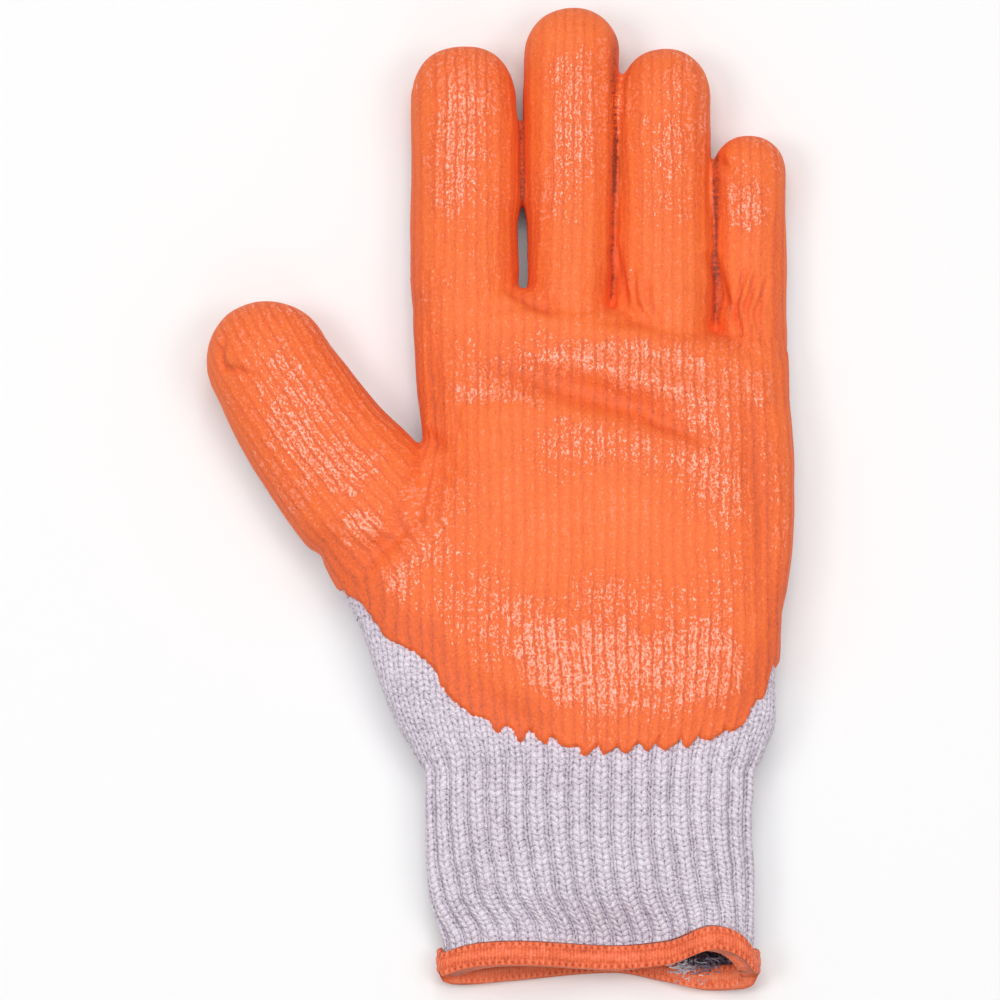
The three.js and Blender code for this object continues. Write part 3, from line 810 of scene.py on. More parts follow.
def coat_field(points, dip, column):
    """How far inside the latex each point is, in millimetres, below 0 where the knit is bare."""
    x = points[:, 0]
    slope = edge_line(x + 0.5) - edge_line(x - 0.5)
    tooth = wave(column / 2)
    deeper = hashed(np.floor(column / 2), np.zeros_like(column))
    toothed = smoothstep(x, -0.75 * PALM_HALF, -0.4 * PALM_HALF) * (0.25 + 0.95 * deeper)
    line = edge_line(x) + DIP_TOOTH * tooth**1.3 * toothed
    above = (points[:, 1] - line + uneven(points, UNEVEN_EDGE)) / np.sqrt(1 + slope**2)
    return np.minimum(above, dip + uneven(points, UNEVEN_DIP))


# Folds of the palm's side

# Each fold runs through its points, in millimetres, with a half width, a depth and how much painted shade
# darkens it
FOLDS = table(
    "name through half depth shade",
    ("grip", [(-27.5, 157), (-8, 148), (11, 143.5), (23.5, 135.5)], 3.4, 0.85, 0.7),
    ("grip_end", [(12, 142.5), (25, 136)], 1.4, 0.75, 0.75),
    ("index_root", [(-29, 170), (-14, 169.5)], 1.8, 0.5, 0.4),
    ("index_crotch", [(-21.5, 174), (-12, 168.5)], 1.6, 1.2, 0.9),
    ("middle_root", [(0, 166), (14, 165.5)], 1.8, 0.6, 0.5),
    ("middle_groove", [(4.5, 186), (6, 176), (9, 168.5)], 1.3, 1.1, 0.8),
    ("ring_wrinkle_1", [(9.2, 179), (9.8, 171.5), (12.2, 166.5)], 0.8, 0.8, 0.8),
    ("ring_wrinkle_2", [(12.4, 177), (12.8, 170.5), (15.2, 166)], 0.8, 0.7, 0.7),
    ("ring_groove", [(28.5, 184), (31.5, 174), (36, 164)], 1.4, 1.2, 0.9),
    ("little_wrinkle_1", [(36.5, 180), (33.8, 170), (36, 164)], 0.8, 1.1, 0.95),
    ("little_wrinkle_2", [(39.5, 179), (36.6, 169.5), (38.5, 162.5)], 0.8, 1.0, 0.9),
    ("little_wrinkle_3", [(42, 177), (39.4, 168.5), (41, 162)], 0.8, 0.8, 0.8),
    ("palm_edge", [(-42, 160), (-41, 146), (-40, 136)], 2.6, 0.5, 0.8),
    ("palm_crease", [(-35.4, 144), (-35.2, 138)], 0.8, 0.5, 0.6),
    ("thumb_crotch", [(-43.5, 137.5), (-40, 135)], 1.6, 1.2, 1.0),
    ("thumb_base", [(-48, 117.5), (-53, 110), (-59, 103), (-65, 99)], 2.4, 0.7, 0.6),
    ("thumb_ray_1", [(-39, 131.5), (-33.5, 127)], 0.7, 0.4, 0.4),
    ("thumb_ray_2", [(-41, 130), (-37, 124)], 0.7, 0.35, 0.4),
    ("little_side", [(37.5, 143), (40.5, 120), (40, 97)], 3.4, 0.9, 0.7),
    ("palm_foot", [(-12.5, 95), (6, 88.5), (25, 87)], 3, 0.12, 0.15),
    ("thumb_tip", [(-94.2, 161), (-93.6, 154.5), (-87, 152)], 0.9, 0.9, 1.0),
    ("little_tip", [(29.6, 209.5), (32.6, 206)], 1.2, 0.9, 0.9),
)
# Raised places of the palm's side: middle, half length and half width, turn in degrees and height
LUMPS = table(
    "name x y length width turn height",
    ("under_index", -25, 140.5, 12, 3.6, -4, 0.9),
    ("thumb_root", -59, 112, 5, 4, 40, 1.0),
    ("thumb_crotch", -44.5, 131, 3, 2, 0, 0.6),
    ("thumb_tip", -90, 156, 4, 2.2, -20, 0.8),
    ("little_tip", 36.6, 204, 2.6, 2, 30, 0.5),
    ("over_grip", 8, 152, 16, 4, -14, 0.5),
    ("under_grip", 6, 134, 15, 5, -14, 0.5),
)


def to_line(x, y, through):
    """Distance of each point to a line through several points, and the share along it."""
    best = np.full(len(x), np.inf)
    share = np.zeros(len(x))
    for k, (a, b) in enumerate(zip(through[:-1], through[1:])):
        ahead = np.subtract(b, a)
        t = np.clip(((x - a[0]) * ahead[0] + (y - a[1]) * ahead[1]) / (ahead @ ahead), 0, 1)
        d = np.hypot(x - a[0] - t * ahead[0], y - a[1] - t * ahead[1])
        share = np.where(d < best, (k + t) / (len(through) - 1), share)
        best = np.minimum(best, d)
    return best, share


def fold_relief(points, normals):
    """How far the folds and lumps move each point, and how much painted shade they put on it."""
    facing = smoothstep(normals[:, 2], 0.05, 0.5)
    x, y = (points[:, k] + uneven(points, UNEVEN_FOLDS[k]) for k in (0, 1))
    move = np.zeros(len(points))
    shade = np.zeros(len(points))
    for fold in FOLDS:
        d, share = to_line(x, y, fold["through"])
        taper = np.sin(np.pi * np.clip(0.1 + 0.8 * share, 0, 1)) ** 0.6
        groove = np.exp(-((d / fold["half"]) ** 2)) * taper
        lips = np.exp(-(((d - 2 * fold["half"]) / (0.9 * fold["half"])) ** 2)) * taper
        move += fold["depth"] * (0.2 * lips - groove)
        shade = np.maximum(shade, fold["shade"] * groove)
    for lump in LUMPS:
        u, v = in_oval(x, y, lump)
        move += lump["height"] * np.exp(-(u**2) - v**2)
    return move * facing, shade * facing


# Latex coat and knit under it

# Where the latex glitters, or lies smooth where the strength is below 0: middle, half length and half width,
# turn in degrees and strength
GLITTER = table(
    "name x y length width turn strength",
    ("under_index", -26, 151, 21, 8, 6, 1.0),
    ("under_ring", 20, 152, 26, 9, -8, 1.0),
    ("middle_palm", -2, 133, 26, 8, -10, 0.72),
    ("little_side", 31, 124, 15, 28, 0, 0.82),
    ("low_palm", 4, 80, 38, 14, -4, 1.0),
    ("low_thumb_side", -34, 92, 18, 11, 40, 0.64),
    ("thumb_side", -40, 116, 17, 11, 60, 0.72),
    ("thumb_low", -54, 96, 9, 6, 60, 0.8),
    ("thumb_root", -60, 112, 7, 5, 60, 1.0),
    ("thumb", -74, 136, 25, 12, 120, 0.82),
    ("index", -36, 210, 25, 8, 92, 0.82),
    ("index_root", -35, 178, 10, 7, 0, 0.5),
    ("middle", -6, 216, 29, 7.5, 88, 0.74),
    ("ring", 20, 212, 19, 8, 84, 0.76),
    ("little", 38, 199, 13, 6, 90, 0.82),
    ("smooth_middle", 0, 113, 28, 13, -6, -0.4),
    ("smooth_top", -3, 168, 36, 5, -3, -0.35),
    ("smooth_left", -27, 139, 11, 6, -10, -0.3),
    ("smooth_index", -34, 186, 10, 8, 90, -0.15),
    ("smooth_middle_finger", -4, 184, 14, 9, 90, -0.25),
    ("smooth_ring", 20, 188, 16, 10, 86, -0.15),
    ("smooth_little", 39, 178, 10, 8, 90, -0.2),
)
PLAIN_GLITTER = 0.54
MOST_GLITTER = 0.88
COAT_RIDGE = 0.2  # height of a column of stitches, seen through the latex
KNIT_RIDGE = 0.3
COAT_FEATHER = 1.2  # over how many millimetres the latex thins out at its edge
STEEP_SHADE = 0.25  # how much deeper its colour is: painted shade on steep sides and between the fingers, and a deeper band along its edge
EDGE_DEEP = 0.85
CRACK_SHADE = 1.6
COAT_UNDER = 2.5  # how far the bare knit runs on under the latex
RUN_OUT = 6  # how far the hand's surfaces start below the wrist, to be cut there
SMOOTH_ROUNDS = 8
INSIDE_ROUNDS = 4


def glitter_of(points, normals):
    """How much the latex glitters at each point, from its zones and two sizes of unevenness."""
    total = PLAIN_GLITTER + uneven(points, UNEVEN_GLITTER)
    ragged = uneven(points, RAGGED_ZONES)
    for zone in GLITTER:
        u, v = in_oval(points[:, 0], points[:, 1], zone)
        near = 1 - smoothstep(u**2 + v**2 + ragged, 0, 2.4)
        if zone["strength"] > 0:
            total = np.maximum(total, zone["strength"] * near)
        else:
            total += zone["strength"] * near
    return np.minimum(total, MOST_GLITTER) * smoothstep(normals[:, 2], 0.1, 0.6)


def rough_hand(points, normals, column, seam, share, amount):
    """The hand's surface moved by the columns' ridges, which fade at the tips, and by a slight unevenness."""
    fade = 1 - smoothstep(share, 0.8, 0.93)
    move = amount * (wave(column) - 0.5) * seam * fade + uneven(points, UNEVEN_HAND)
    return points + normals * move[:, None]


def between_fingers(points):
    """1 in the cracks between neighbouring fingers, falling to 0 within a few millimetres."""
    total = np.zeros(len(points))
    for finger in ROOTS[:-1]:
        along, across = in_finger(finger, points)
        crack = finger["root_width"] / 2 + FINGER_GAP / 2
        near = np.exp(-(((across - crack) / 1.1) ** 2))
        total = np.maximum(total, near * smoothstep(along, -4, 2))
    return total


def build_coat(material):
    points, triangles = skin(COAT, SKIN_STEP, SMOOTH_ROUNDS)
    normals = normals_of(points, triangles)
    places, column, dip, share, seam = hand_fields(points)
    field = coat_field(points, dip, column)
    field = np.where(points[:, 1] < WRIST_Y + 1, -1, field)  # none of it on the cuff
    move, shade = fold_relief(points, normals)
    glitter = glitter_of(points, normals)
    steep = 1 - smoothstep(normals[:, 2], 0.05, 0.75)
    low_side = np.maximum(1 - smoothstep(points[:, 0], -22, -2), smoothstep(points[:, 0], 28, 38))
    band = (1 - smoothstep(field, 5, 12)) * smoothstep(points[:, 2], 9, 15) * (0.3 + 0.7 * low_side)
    cracks = between_fingers(points)
    # Painted shade in the folds, on steep sides and in the cracks between the fingers, with a deeper band
    # along the latex's edge
    painted_shade_and_band = np.maximum.reduce([shade, STEEP_SHADE * steep, EDGE_DEEP * band, CRACK_SHADE * cracks])
    glitter *= 1 - np.maximum(0.8 * shade, 0.75 * band)
    points = rough_hand(points, normals, column, seam, share, COAT_RIDGE) + normals * move[:, None]
    thin = 1 - smoothstep(field, 0, COAT_FEATHER)
    points = points - normals * (thin**2 * (COAT + 0.1))[:, None]
    extra = np.concatenate([places, np.stack([painted_shade_and_band, glitter], 1)], 1)
    points, faces, extra = clipped(points, triangles, field, extra)
    column, row = corner_stitches(points, faces, extra[:, :-2])
    values = {"column": column, "row": row, "painted_shade_and_band": extra[:, -2], "glitter": extra[:, -1]}
    make_piece("latex_coat", points, faces, values, material, ["latex_coating"])


def build_knit_hand(material):
    points, triangles = skin(0, SKIN_STEP, SMOOTH_ROUNDS)
    normals = normals_of(points, triangles)
    places, column, dip, share, seam = hand_fields(points)
    field = coat_field(points, dip, column)
    keep = np.minimum(COAT_UNDER - field, points[:, 1] - (WRIST_Y + HEEL_LENGTH))
    move, _ = fold_relief(points, normals)
    points = rough_hand(points, normals, column, seam, share, KNIT_RIDGE) + normals * move[:, None]
    points[:, 2] = np.maximum(points[:, 2], 0)
    points, faces, extra = clipped(points, triangles, keep, places)
    column, row = corner_stitches(points, faces, extra)
    values = {"column": column, "row": row, "rib": np.zeros(len(points)), "inner": np.zeros(len(points))}
    nodes = ["palm_knit", "knuckle_knit", "thumb_stall", *(f"{f['name']}_stall" for f in ROOTS)]
    make_piece("knit_hand", points, faces, values, material, nodes)


def build_knit_inside(material):
    """The knit's inner face, which the hand touches."""
    points, triangles = skin(-KNIT_WALL, INSIDE_STEP, INSIDE_ROUNDS)
    triangles = triangles[:, ::-1]
    keep = points[:, 1] - (WRIST_Y + HEEL_LENGTH)
    points, faces, extra = clipped(points, triangles, keep, stitch_places(points))
    column, row = corner_stitches(points, faces, extra)
    # inner marks the faces that the knit's material darkens with painted shade
    values = {"column": column, "row": row, "rib": np.zeros(len(points)), "inner": np.ones(len(points))}
    make_piece("knit_inside", points, faces, values, material, [])


# Cuff, heel and hem


cuff_curves = curves(CUFF_SHAPE)
end_curves = curves(CUFF_END, "across")


def cuff_ring(angle, y, grow):
    """Points round the cuff, with its end drawn up and gaping."""
    along = y / CUFF_LENGTH
    left = WRIST_LEFT * cuff_curves["thumbSide"](along)
    right = WRIST_RIGHT * cuff_curves["littleSide"](along)
    gape = cuff_curves["gape"](along)
    height, front, back = (line(bend(np.cos(angle), CUFF_POWER)) for line in end_curves.values())
    top = CUFF_THICKNESS * mix(1, height, gape)
    across, base, up, raised = section(angle, left, right, top, HEM_OUT * gape, CUFF_POWER, grow)
    drawn = gape * mix(back, front, smoothstep(raised, 0, 0.8)) * CUFF_LENGTH
    return np.stack([across, y + drawn, up], -1)


def tube_ring(angle, y, grow):
    """Points round the cuff below the wrist and round the palm above it."""
    if y <= WRIST_Y:
        return cuff_ring(angle, y, grow)
    return palm_section(angle, np.float64(y - WRIST_Y), grow)


def even_ring(y, grow, count):
    """The same, spaced evenly, and starting on the middle of the back."""
    ring = tube_ring(np.linspace(-np.pi / 2, 1.5 * np.pi, RING_STATIONS), y, grow)
    run = run_along(ring)
    at = np.linspace(0, run[-1], count, endpoint=False)
    return np.stack([np.interp(at, run, ring[:, k]) for k in range(3)], -1)


def stitch_height(column, row, rib):
    """How high a stitch's legs stand, from 0 to 1, and its rib's rise, which is below 0 in a furrow."""
    pair = column / 2 + 0.25
    pair = pair - np.floor(pair)
    raised_share = mix(0.5, RIB_KNIT_SHARE, rib)
    low = (1 - raised_share) / 2
    raised = (pair > low) & (pair < 1 - low)
    from_furrow = np.where(pair > 0.5, pair - 1, pair) / low
    aside = np.where(raised, (pair - 0.5) / (raised_share / 2), from_furrow)
    off = np.abs(aside)
    phase = row - LEG_SLANT * off
    phase = phase - np.floor(phase)
    leg = np.sin(np.pi * phase) ** 0.7 * np.sin(np.pi * np.clip(0.12 + 0.85 * off, 0, 1)) ** 0.6
    rise = np.where(raised, 1, -1) * np.cos(aside * np.pi / 2) ** 0.8
    return leg * np.where(raised, 1, 1 - rib * 0.7), rise


def build_tube(name, low, high, material, nodes):
    """A stretch of the knitted tube with its stitches in relief, and its plain inner face."""
    rows = int((high - low) / (KNIT_STEP * 1.12)) + 1
    heights = np.linspace(low, high, rows)
    wrist = even_ring(WRIST_Y, 0, WRIST_STATIONS)
    around = np.linalg.norm(wrist - np.roll(wrist, 1, 0), axis=1).sum()
    columns = int(around / KNIT_STEP)
    points = np.concatenate([even_ring(y, 0, columns) for y in heights])
    quads = tube_faces(rows, columns)
    normals = quad_normals(points, quads)
    y = np.repeat(heights, columns)
    above = np.maximum(y, WRIST_Y)
    # Below the wrist every ring has the wrist's columns, so that the ribs follow the cuff
    flat = np.concatenate([even_ring(max(h, WRIST_Y), 0, columns) for h in heights])
    flat[:, 1] = above
    left, right, top = palm_sides(np.clip((above - WRIST_Y) / PALM_LENGTH, 0, 1))
    side = np.where(flat[:, 0] < 0, left, right)
    column, _ = palm_stitches(flat, side, top * WAIST)
    flat[:, 1] = y
    column, row = np.stack([column, y / COURSE]) + uneven_stitches(flat).T
    rib = 1 - smoothstep(y, WRIST_Y - 2, WRIST_Y + 12)
    leg, rise = stitch_height(column, row, rib)
    sewn = smoothstep(y, HEM_HEIGHT - 0.5, HEM_HEIGHT * 1.6)
    move = STITCH_HEIGHT * (leg - 0.5) + rise * RIB_RISE * rib - RIB_SINK * rib + uneven(points, UNEVEN_CUFF)
    points = points + normals * mix(HEM_SQUEEZE, move, sewn)[:, None]
    points[:, 2] = np.maximum(points[:, 2], 0)
    # The inner face needs fewer rows, and most of them near the cuff's end
    inner_heights = low + (high - low) * np.linspace(1, 0, INSIDE_ROWS) ** 1.7
    inner = np.concatenate([even_ring(y, 0, columns) for y in inner_heights])
    inner += KNIT_WALL * quad_normals(inner, tube_faces(len(inner_heights), columns))
    everything = np.concatenate([points, inner])
    faces = tube_faces(rows + len(inner_heights) + 1, columns) % len(everything)
    values = {"column": column, "row": row, "rib": rib}
    values = {key: np.concatenate([value, np.zeros(len(inner))]) for key, value in values.items()}
    # inner marks the inner face, which the knit's material darkens with painted shade
    values["inner"] = np.repeat([0.0, 1.0], [len(points), len(inner)])
    make_piece(name, everything, faces, values, material, nodes)


def build_hem(material):
    """The sewn band over the cuff's edge, with its thread's turns and its two lines of stitches in relief."""
    inner = -KNIT_WALL - HEM_OUT
    rows = 26
    outer = [(t * HEM_HEIGHT, HEM_OUT, t) for t in np.linspace(0, 1, rows)]
    tucked = [(HEM_HEIGHT, HEM_GAP, 1.0), (HEM_HEIGHT * 0.6, HEM_GAP, 0.6)]
    tucked += [(HEM_HEIGHT * 0.6, inner + HEM_WALL, 0.6), (HEM_HEIGHT, inner + HEM_WALL, 1.0)]
    inside = [(t * HEM_HEIGHT, inner, t) for t in np.linspace(1, 0, rows // 2)]
    path = outer + tucked + inside
    columns = 1000
    rings = np.stack([even_ring(y, grow, columns) for y, grow, _ in path])
    faces = tube_faces(len(path) + 1, columns) % (len(path) * columns)
    points = rings.reshape(-1, 3)
    normals = quad_normals(points, faces)
    up = np.repeat([t for _, _, t in path], columns)
    around = np.tile(np.arange(columns) / columns, len(path)) * HEM_LENGTH
    on_band = np.repeat([1.0] * rows + [0.0] * len(tucked) + [1.0] * (rows // 2), columns)
    turn = around + uneven(np.stack([around, up * 3, 0 * up], 1), UNEVEN_THREAD)
    thread, loops = wave(turn / HEM_THREAD), wave(turn / HEM_STITCH)
    seam, beside = (
        sum(np.exp(-(((up - height) / HEM_LINE_HALF) ** 2)) for height in heights)
        for heights in (HEM_SEAMS, HEM_FURROWS)
    )
    crown = np.sin(np.pi * np.clip(up, 0, 1)) ** 0.6
    move = 0.75 * crown - 0.45 + 0.09 * thread + seam * (0.34 * loops - 0.12) - 0.12 * beside
    points = points + normals * ((move + uneven(points, UNEVEN_HEM)) * on_band)[:, None]
    points[:, 2] = np.maximum(points[:, 2], 0)
    lit = 0.45 + 0.35 * thread * (1 - seam) + seam * (1.1 * loops - 0.6) - 0.3 * beside
    within = np.arange(len(points)) >= (rows + len(tucked)) * columns
    lit = np.clip(lit + 0.25 * within, 0, 1) * on_band
    make_piece("hem_band", points, faces, {"lit": lit}, material, ["sewn_hem"])


# Loose fibres inside the cuff's end: middle and spread in millimetres, how many and how long, and how light.
# The darkest tuft is painted shade: dark fibres where the cuff's end lies in shadow
TUFTS = table(
    "name at spread threads length light",
    ("pale", (21.5, 5.6, 4.4), (1.7, 0.7, 0.7), 50, 3.6, 0.95),
    ("grey", (26.5, 5.8, 4.2), (2.4, 1.0, 0.9), 46, 4.2, 0.5),
    ("dark", (30, 7.2, 4.5), (2.4, 1.1, 0.8), 20, 5, 0.15),
    ("fringe", (24.5, 3.0, 3.9), (3.0, 0.6, 0.2), 26, 1.8, 0.8),
)
FIBRE_RADIUS = 0.16
FIBRE_SEED = 5
FIBRE_STATIONS = 9
FIBRE_SIDES = 5


def build_fibres(material):
    """Short curled ends of knitting yarn, each a thin bent tube."""
    random = np.random.default_rng(FIBRE_SEED)
    stations, sides = FIBRE_STATIONS, FIBRE_SIDES
    around = np.linspace(0, 2 * np.pi, sides, endpoint=False)
    points, faces, light = [], [], []
    for tuft in TUFTS:
        for _ in range(tuft["threads"]):
            start = np.array(tuft["at"]) + np.array(tuft["spread"]) * random.normal(size=3).clip(-1.6, 1.6)
            heading = random.uniform(0, 2 * np.pi)
            curl = random.uniform(-0.35, 0.35)
            lift = random.uniform(-0.1, 0.25)
            step = tuft["length"] / stations
            line = [start]
            for k in range(stations - 1):
                turn = heading + curl * k
                line.append(line[-1] + step * np.array([math.cos(turn), 0.6 * math.sin(turn), lift]))
            line = np.array(line)
            line[:, 2] = np.maximum(line[:, 2], KNIT_WALL + HEM_OUT + FIBRE_RADIUS)
            ahead = np.gradient(line, axis=0)
            side = np.stack([-ahead[:, 1], ahead[:, 0], np.zeros(stations)], 1)
            side /= np.linalg.norm(side, axis=1)[:, None]
            up = np.array([0, 0, 1])
            ring = np.cos(around)[:, None] * side[:, None] + np.sin(around)[:, None] * up
            first = sum(len(p) for p in points)
            points.append((line[:, None] + FIBRE_RADIUS * ring).reshape(-1, 3))
            faces.append(tube_faces(stations, sides) + first)
            light.append(np.full(stations * sides, tuft["light"] + random.uniform(-0.25, 0.25)))
    values = {"lit": np.concatenate(light)}
    make_piece("loose_fibres", np.concatenate(points), np.concatenate(faces), values, material, [])


# Materials


class Value:
    """A number in a node tree that sums and products can be written with."""

    def __init__(self, tree, socket):
        self.tree = tree
        self.socket = socket

    def math(self, operation, *others):
        node = self.tree.nodes.new("ShaderNodeMath")
        node.operation = operation
        for i, item in enumerate((self, *others)):
            if isinstance(item, Value):
                self.tree.links.new(item.socket, node.inputs[i])
            else:
                node.inputs[i].default_value = item
        return Value(self.tree, node.outputs[0])

    def __add__(self, other):
        return self.math("ADD", other)

    def __sub__(self, other):
        return self.math("SUBTRACT", other)

    def __mul__(self, other):
        return self.math("MULTIPLY", other)

    def fract(self):
        return self.math("FRACT")

    def cos(self):
        return self.math("COSINE")

    def abs(self):
        return self.math("ABSOLUTE")

    def clip(self):
        node = self.tree.nodes.new("ShaderNodeClamp")
        self.tree.links.new(self.socket, node.inputs[0])
        return Value(self.tree, node.outputs[0])


def new_material(name, even):
    """A material, its nodes and its shader, with the numbers that are even all over the surface."""
    material = bpy.data.materials.new(name)
    material.use_nodes = True
    tree = material.node_tree
    shader = next(n for n in tree.nodes if n.type == "BSDF_PRINCIPLED")
    for socket, value in even.items():
        shader.inputs[socket].default_value = value
    return material, tree, shader


def attribute(tree, name):
    node = tree.nodes.new("ShaderNodeAttribute")
    node.attribute_name = name
    return Value(tree, node.outputs["Fac"])


def texture(tree, place, scale, detail, roughness=0.5):
    """Noise from 0 to 1 over places that another node gives."""
    node = tree.nodes.new("ShaderNodeTexNoise")
    for socket, value in {"Scale": scale, "Detail": detail, "Roughness": roughness}.items():
        node.inputs[socket].default_value = value
    tree.links.new(place, node.inputs["Vector"])
    return Value(tree, node.outputs["Fac"])


def spots(tree, scale, detail=2, roughness=0.5):
    """The same over the object. The scale is in bumps a metre."""
    place = tree.nodes.new("ShaderNodeTexCoord")
    return texture(tree, place.outputs["Object"], scale, detail, roughness)


def linear(rgb):
    """A colour written as 0 to 255 turned into the numbers that light adds up in."""
    return [(c / 255 / 12.92) if c <= 10 else ((c / 255 + 0.055) / 1.055) ** 2.4 for c in rgb] + [1]


def paint(tone, stops, shader):
    """Colours the surface by a tone, between the stops."""
    node = tone.tree.nodes.new("ShaderNodeValToRGB")
    elements = node.color_ramp.elements
    while len(elements) < len(stops):
        elements.new(0.5)
    for element, (at, rgb) in zip(elements, stops):
        element.position = at
        element.color = linear(rgb)
    tone.tree.links.new(tone.socket, node.inputs[0])
    tone.tree.links.new(node.outputs[0], shader.inputs["Base Color"])


def bump(height, shader):
    """Bumps the surface by a height in millimetres."""
    node = height.tree.nodes.new("ShaderNodeBump")
    node.inputs["Strength"].default_value = 1
    node.inputs["Distance"].default_value = METRES
    height.tree.links.new(height.socket, node.inputs["Height"])
    height.tree.links.new(node.outputs[0], shader.inputs["Normal"])


def in_stitch(column, rib=0):
    """How far from its stitch's middle a point lies, from 0 to 1, and 1 where that stitch is a raised one.

    Stitches pair up in ribs, where the raised one widens over its neighbour.
    """
    pair = (column * 0.5 + 0.25).fract()
    off = (pair - 0.5).abs()
    half = rib * ((RIB_KNIT_SHARE - 0.5) / 2) + 0.25
    raised = (half - off).math("GREATER_THAN", 0)
    beside_raised = off * half.math("POWER", -1)
    beside_sunk = (off * -1 + 0.5) * (half * -1 + 0.5).math("POWER", -1)
    return raised * beside_raised + (raised * -1 + 1) * beside_sunk, raised


def along_stitches(column, row, across, along, detail=2):
    """The same over the stitches: so many bumps to a column across, and to a row along."""
    tree = column.tree
    place = tree.nodes.new("ShaderNodeCombineXYZ")
    tree.links.new((column * across).socket, place.inputs[0])
    tree.links.new((row * along).socket, place.inputs[1])
    return texture(tree, place.outputs[0], 1, detail)


def latex_material():
    material, tree, shader = new_material("latex", {"Specular IOR Level": 1.0})
    column, row, painted_shade_and_band, glitter = (attribute(tree, name) for name in ("column", "row", "painted_shade_and_band", "glitter"))
    beside = (column.fract() - 0.5).abs() * 2
    leg = (beside * math.pi).math("SINE")
    ridge = (beside * (math.pi / 2)).cos()
    step = ((row - beside * LEG_SLANT) * (2 * math.pi)).cos() * 0.5 + 0.5
    long_streak = along_stitches(column, row, 3.2, 0.6, 1)
    short_streak = along_stitches(column, row, 4.6, 1.7, 2)
    speckle = spots(tree, 1900, 2, 0.7)
    grain = spots(tree, 650, 2, 0.6)
    soft = spots(tree, 90, 2)
    streak = long_streak * 0.22 + short_streak * 0.45 + spots(tree, 1700, 2, 0.6) * 0.33
    glint = ((streak + leg * 0.06 + ridge * 0.08 + glitter * 0.28 + speckle * 0.25 - 0.94) * 18).clip()
    relief = ridge * 0.14 + leg * 0.05 + leg * step * 0.04 + streak * 0.2
    bump(relief * (glitter * 0.6 + 0.4) + speckle * 0.07 + grain * 0.1 + soft * 0.2, shader)
    pit = (speckle * -8 + 2.9).clip() * (painted_shade_and_band * -1 + 1).clip()
    # Painted light in the tone: darker in the grooves between the columns and where the coat's mask paints
    # shade, lower where the latex glitters, and lighter and pinker at the glints, a painted highlight up to
    # the last stop; the glints' lower roughness is real
    tone = (streak - 0.5) * 1.1 + (speckle - 0.5) * 0.6 + ridge * 0.23 + 0.6
    tone = (tone - painted_shade_and_band * 0.36 - pit * 0.3 - glitter * 0.26 + glint * 0.36).clip()
    stops = [
        (0.0, (140, 48, 12)),
        (0.22, (212, 80, 12)),
        (0.5, (240, 96, 11)),
        (0.8, (248, 112, 22)),
        (1.0, (255, 136, 102)),
    ]
    paint(tone, stops, shader)
    tree.links.new((glint * -0.62 + 0.74).socket, shader.inputs["Roughness"])
    return material


def knit_material():
    even = {"Roughness": 0.95, "Specular IOR Level": 0.2, "Sheen Weight": 0.2, "Sheen Roughness": 0.5}
    material, tree, shader = new_material("knit", even)
    column, row, rib, inner = (attribute(tree, name) for name in ("column", "row", "rib", "inner"))
    beside, raised = in_stitch(column, rib)
    leg = (beside * math.pi).math("SINE").math("POWER", 0.6)
    step = ((row - beside * LEG_SLANT) * math.pi).math("SINE").abs().math("POWER", 0.6)
    groove = leg * -1 + 1
    gap = step * -1 + 1
    sunk = rib * (raised * -1 + 1)
    fibre = spots(tree, 2300, 3, 0.75)
    clump = spots(tree, 500, 2, 0.6)
    tint = spots(tree, 60, 2)
    bump(leg * step * 0.3 + fibre * 0.25 + clump * 0.2, shader)
    # Painted shade: darker in the grooves between the legs, in the gaps between rows, in the sunk columns of
    # the ribs, and over the whole inner face
    dark = groove * 0.2 + gap * 0.08 + groove * gap * 0.55 + sunk * 0.12
    tone = ((fibre - 0.5) * 2 + (clump - 0.5) * 0.6 + (tint - 0.5) * 0.3 + 0.78 - dark - inner * 0.5).clip()
    stops = [(0.0, (92, 82, 96)), (0.35, (182, 168, 184)), (0.65, (224, 211, 225)), (1.0, (250, 243, 251))]
    paint(tone, stops, shader)
    return material


def hem_material():
    material, tree, shader = new_material("hem_thread", {"Roughness": 0.62, "Sheen Weight": 0.15})
    lit = attribute(tree, "lit")
    fibre = spots(tree, 2400, 2, 0.6)
    clump = spots(tree, 500, 2, 0.6)
    bump(fibre * 0.12, shader)
    tone = (lit * 0.6 + (fibre - 0.5) * 0.9 + (clump - 0.5) * 0.7 + 0.22).clip()
    paint(tone, [(0.1, (168, 58, 22)), (0.5, (238, 102, 52)), (0.9, (253, 142, 100))], shader)
    return material


def fibre_material():
    material, tree, shader = new_material("fibre", {"Roughness": 0.9, "Sheen Weight": 0.2})
    tone = (attribute(tree, "lit") + (spots(tree, 900, 2) - 0.5) * 0.4).clip()
    paint(tone, [(0.0, (70, 66, 84)), (0.5, (150, 148, 170)), (1.0, (246, 243, 248))], shader)
    return material


# Stage

FLOOR_REACH = 3


def build_stage():
    corners = [(x * FLOOR_REACH, y * FLOOR_REACH, 0) for x, y in ((-1, -1), (1, -1), (1, 1), (-1, 1))]
    floor = new_object("floor", corners, [(0, 1, 2, 3)])
    material, _, shader = new_material("floor", {"Roughness": 0.9})
    shader.inputs["Base Color"].default_value = (0.9, 0.9, 0.9, 1)
    floor.data.materials.append(material)


# Where each light stands, in degrees and metres, its size and its power
LIGHTS = table(
    "name azimuth elevation distance size power",
    ("over", 180, 78, 1.5, 0.9, 8.0),
    ("left", -80, 62, 1.3, 0.5, 3.6),
    ("right", 80, 62, 1.3, 0.5, 2.6),
    ("near", 10, 48, 1.3, 0.3, 0.6),
    ("far", 175, 46, 1.3, 0.2, 0.6),
)
ROOM_LIGHT = 0.41


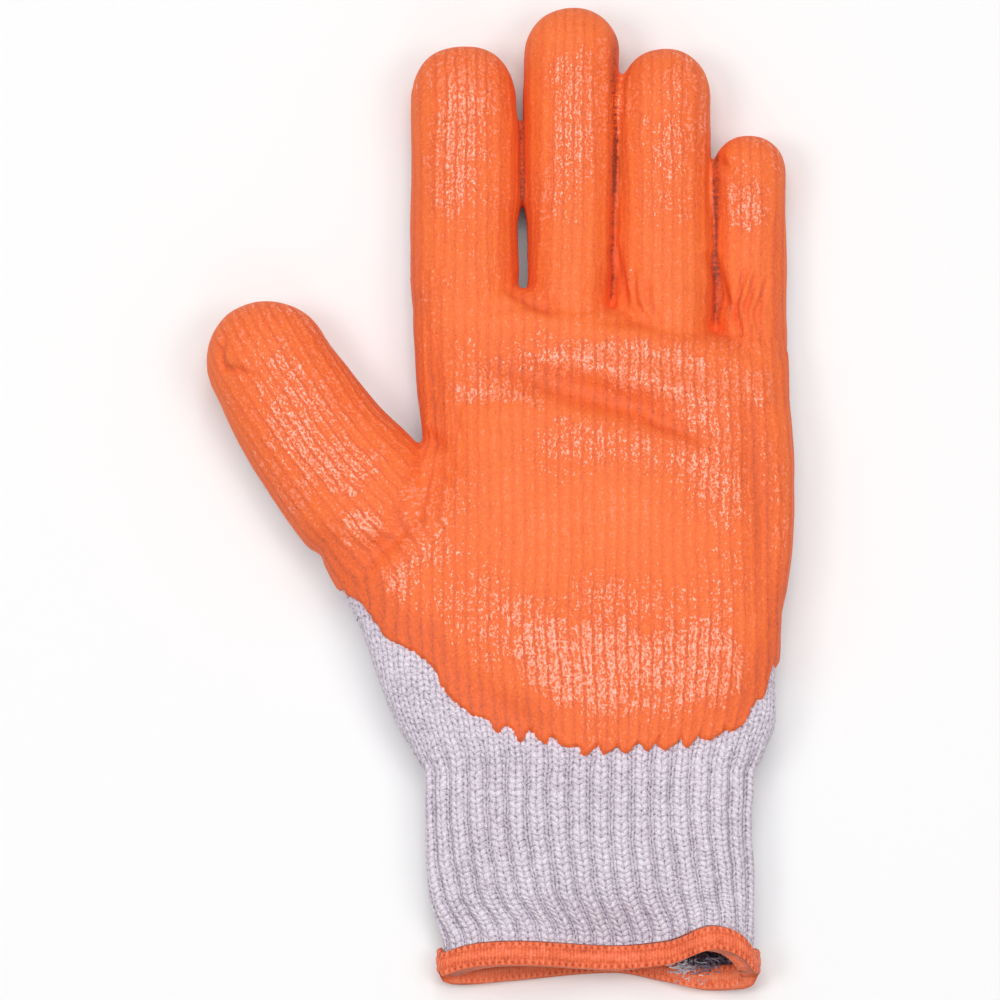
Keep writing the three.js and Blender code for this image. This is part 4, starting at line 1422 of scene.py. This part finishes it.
def build_lights():
    """Round soft lights that look at the glove's middle, in a white room."""
    for row in LIGHTS:
        light = bpy.data.lights.new(row["name"], "AREA")
        light.shape = "DISK"
        light.size = row["size"]
        light.energy = row["power"]
        obj = linked(row["name"], light)
        turn, rise = math.radians(row["azimuth"]), math.radians(row["elevation"])
        flat = row["distance"] * math.cos(rise)
        obj.location = (flat * math.sin(turn), -flat * math.cos(turn), row["distance"] * math.sin(rise))
        obj.rotation_euler = (math.pi / 2 - rise, 0, turn)
    world = bpy.data.worlds.new("studio")
    world.use_nodes = True
    background = world.node_tree.nodes["Background"].inputs
    background["Color"].default_value = (1, 1, 1, 1)
    background["Strength"].default_value = ROOM_LIGHT
    bpy.context.scene.world = world


CAMERA_AIM = (0, -0.0021, 0.012)
CAMERA_HEIGHT_DEGREES = 80
CAMERA_DISTANCE = 1.9
VIEW_WIDTH = 0.2506  # what the picture spans at the glove's height
SENSOR = 36


def build_camera():
    camera = bpy.data.cameras.new("camera")
    camera.sensor_width = SENSOR
    camera.lens = SENSOR * CAMERA_DISTANCE / VIEW_WIDTH
    camera.clip_start = 0.05
    obj = linked("camera", camera)
    tilt = math.radians(CAMERA_HEIGHT_DEGREES)
    back, above = CAMERA_DISTANCE * math.cos(tilt), CAMERA_DISTANCE * math.sin(tilt)
    obj.location = (CAMERA_AIM[0], CAMERA_AIM[1] - back, CAMERA_AIM[2] + above)
    obj.rotation_euler = (math.pi / 2 - tilt, 0, 0)
    bpy.context.scene.camera = obj


# Where the glove's own frame starts in the scene, in millimetres
_, cuff_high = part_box("rib_cuff")
shift_x = cuff_high[0] / METRES - WRIST_RIGHT
shift_y = cuff_high[1] / METRES - (CUFF_LENGTH - SEAM_GAP)
FRAME_SHIFT = np.array([shift_x, shift_y, 0])

build_coat(latex_material())
knit = knit_material()
build_knit_hand(knit)
build_knit_inside(knit)
build_tube("knit_cuff", HEM_HEIGHT * 0.4, WRIST_Y + HEEL_LENGTH, knit, ["rib_cuff", "heel_knit"])
build_hem(hem_material())
build_fibres(fibre_material())
build_stage()
build_lights()
build_camera()
bpy.context.scene.view_settings.view_transform = "Standard"
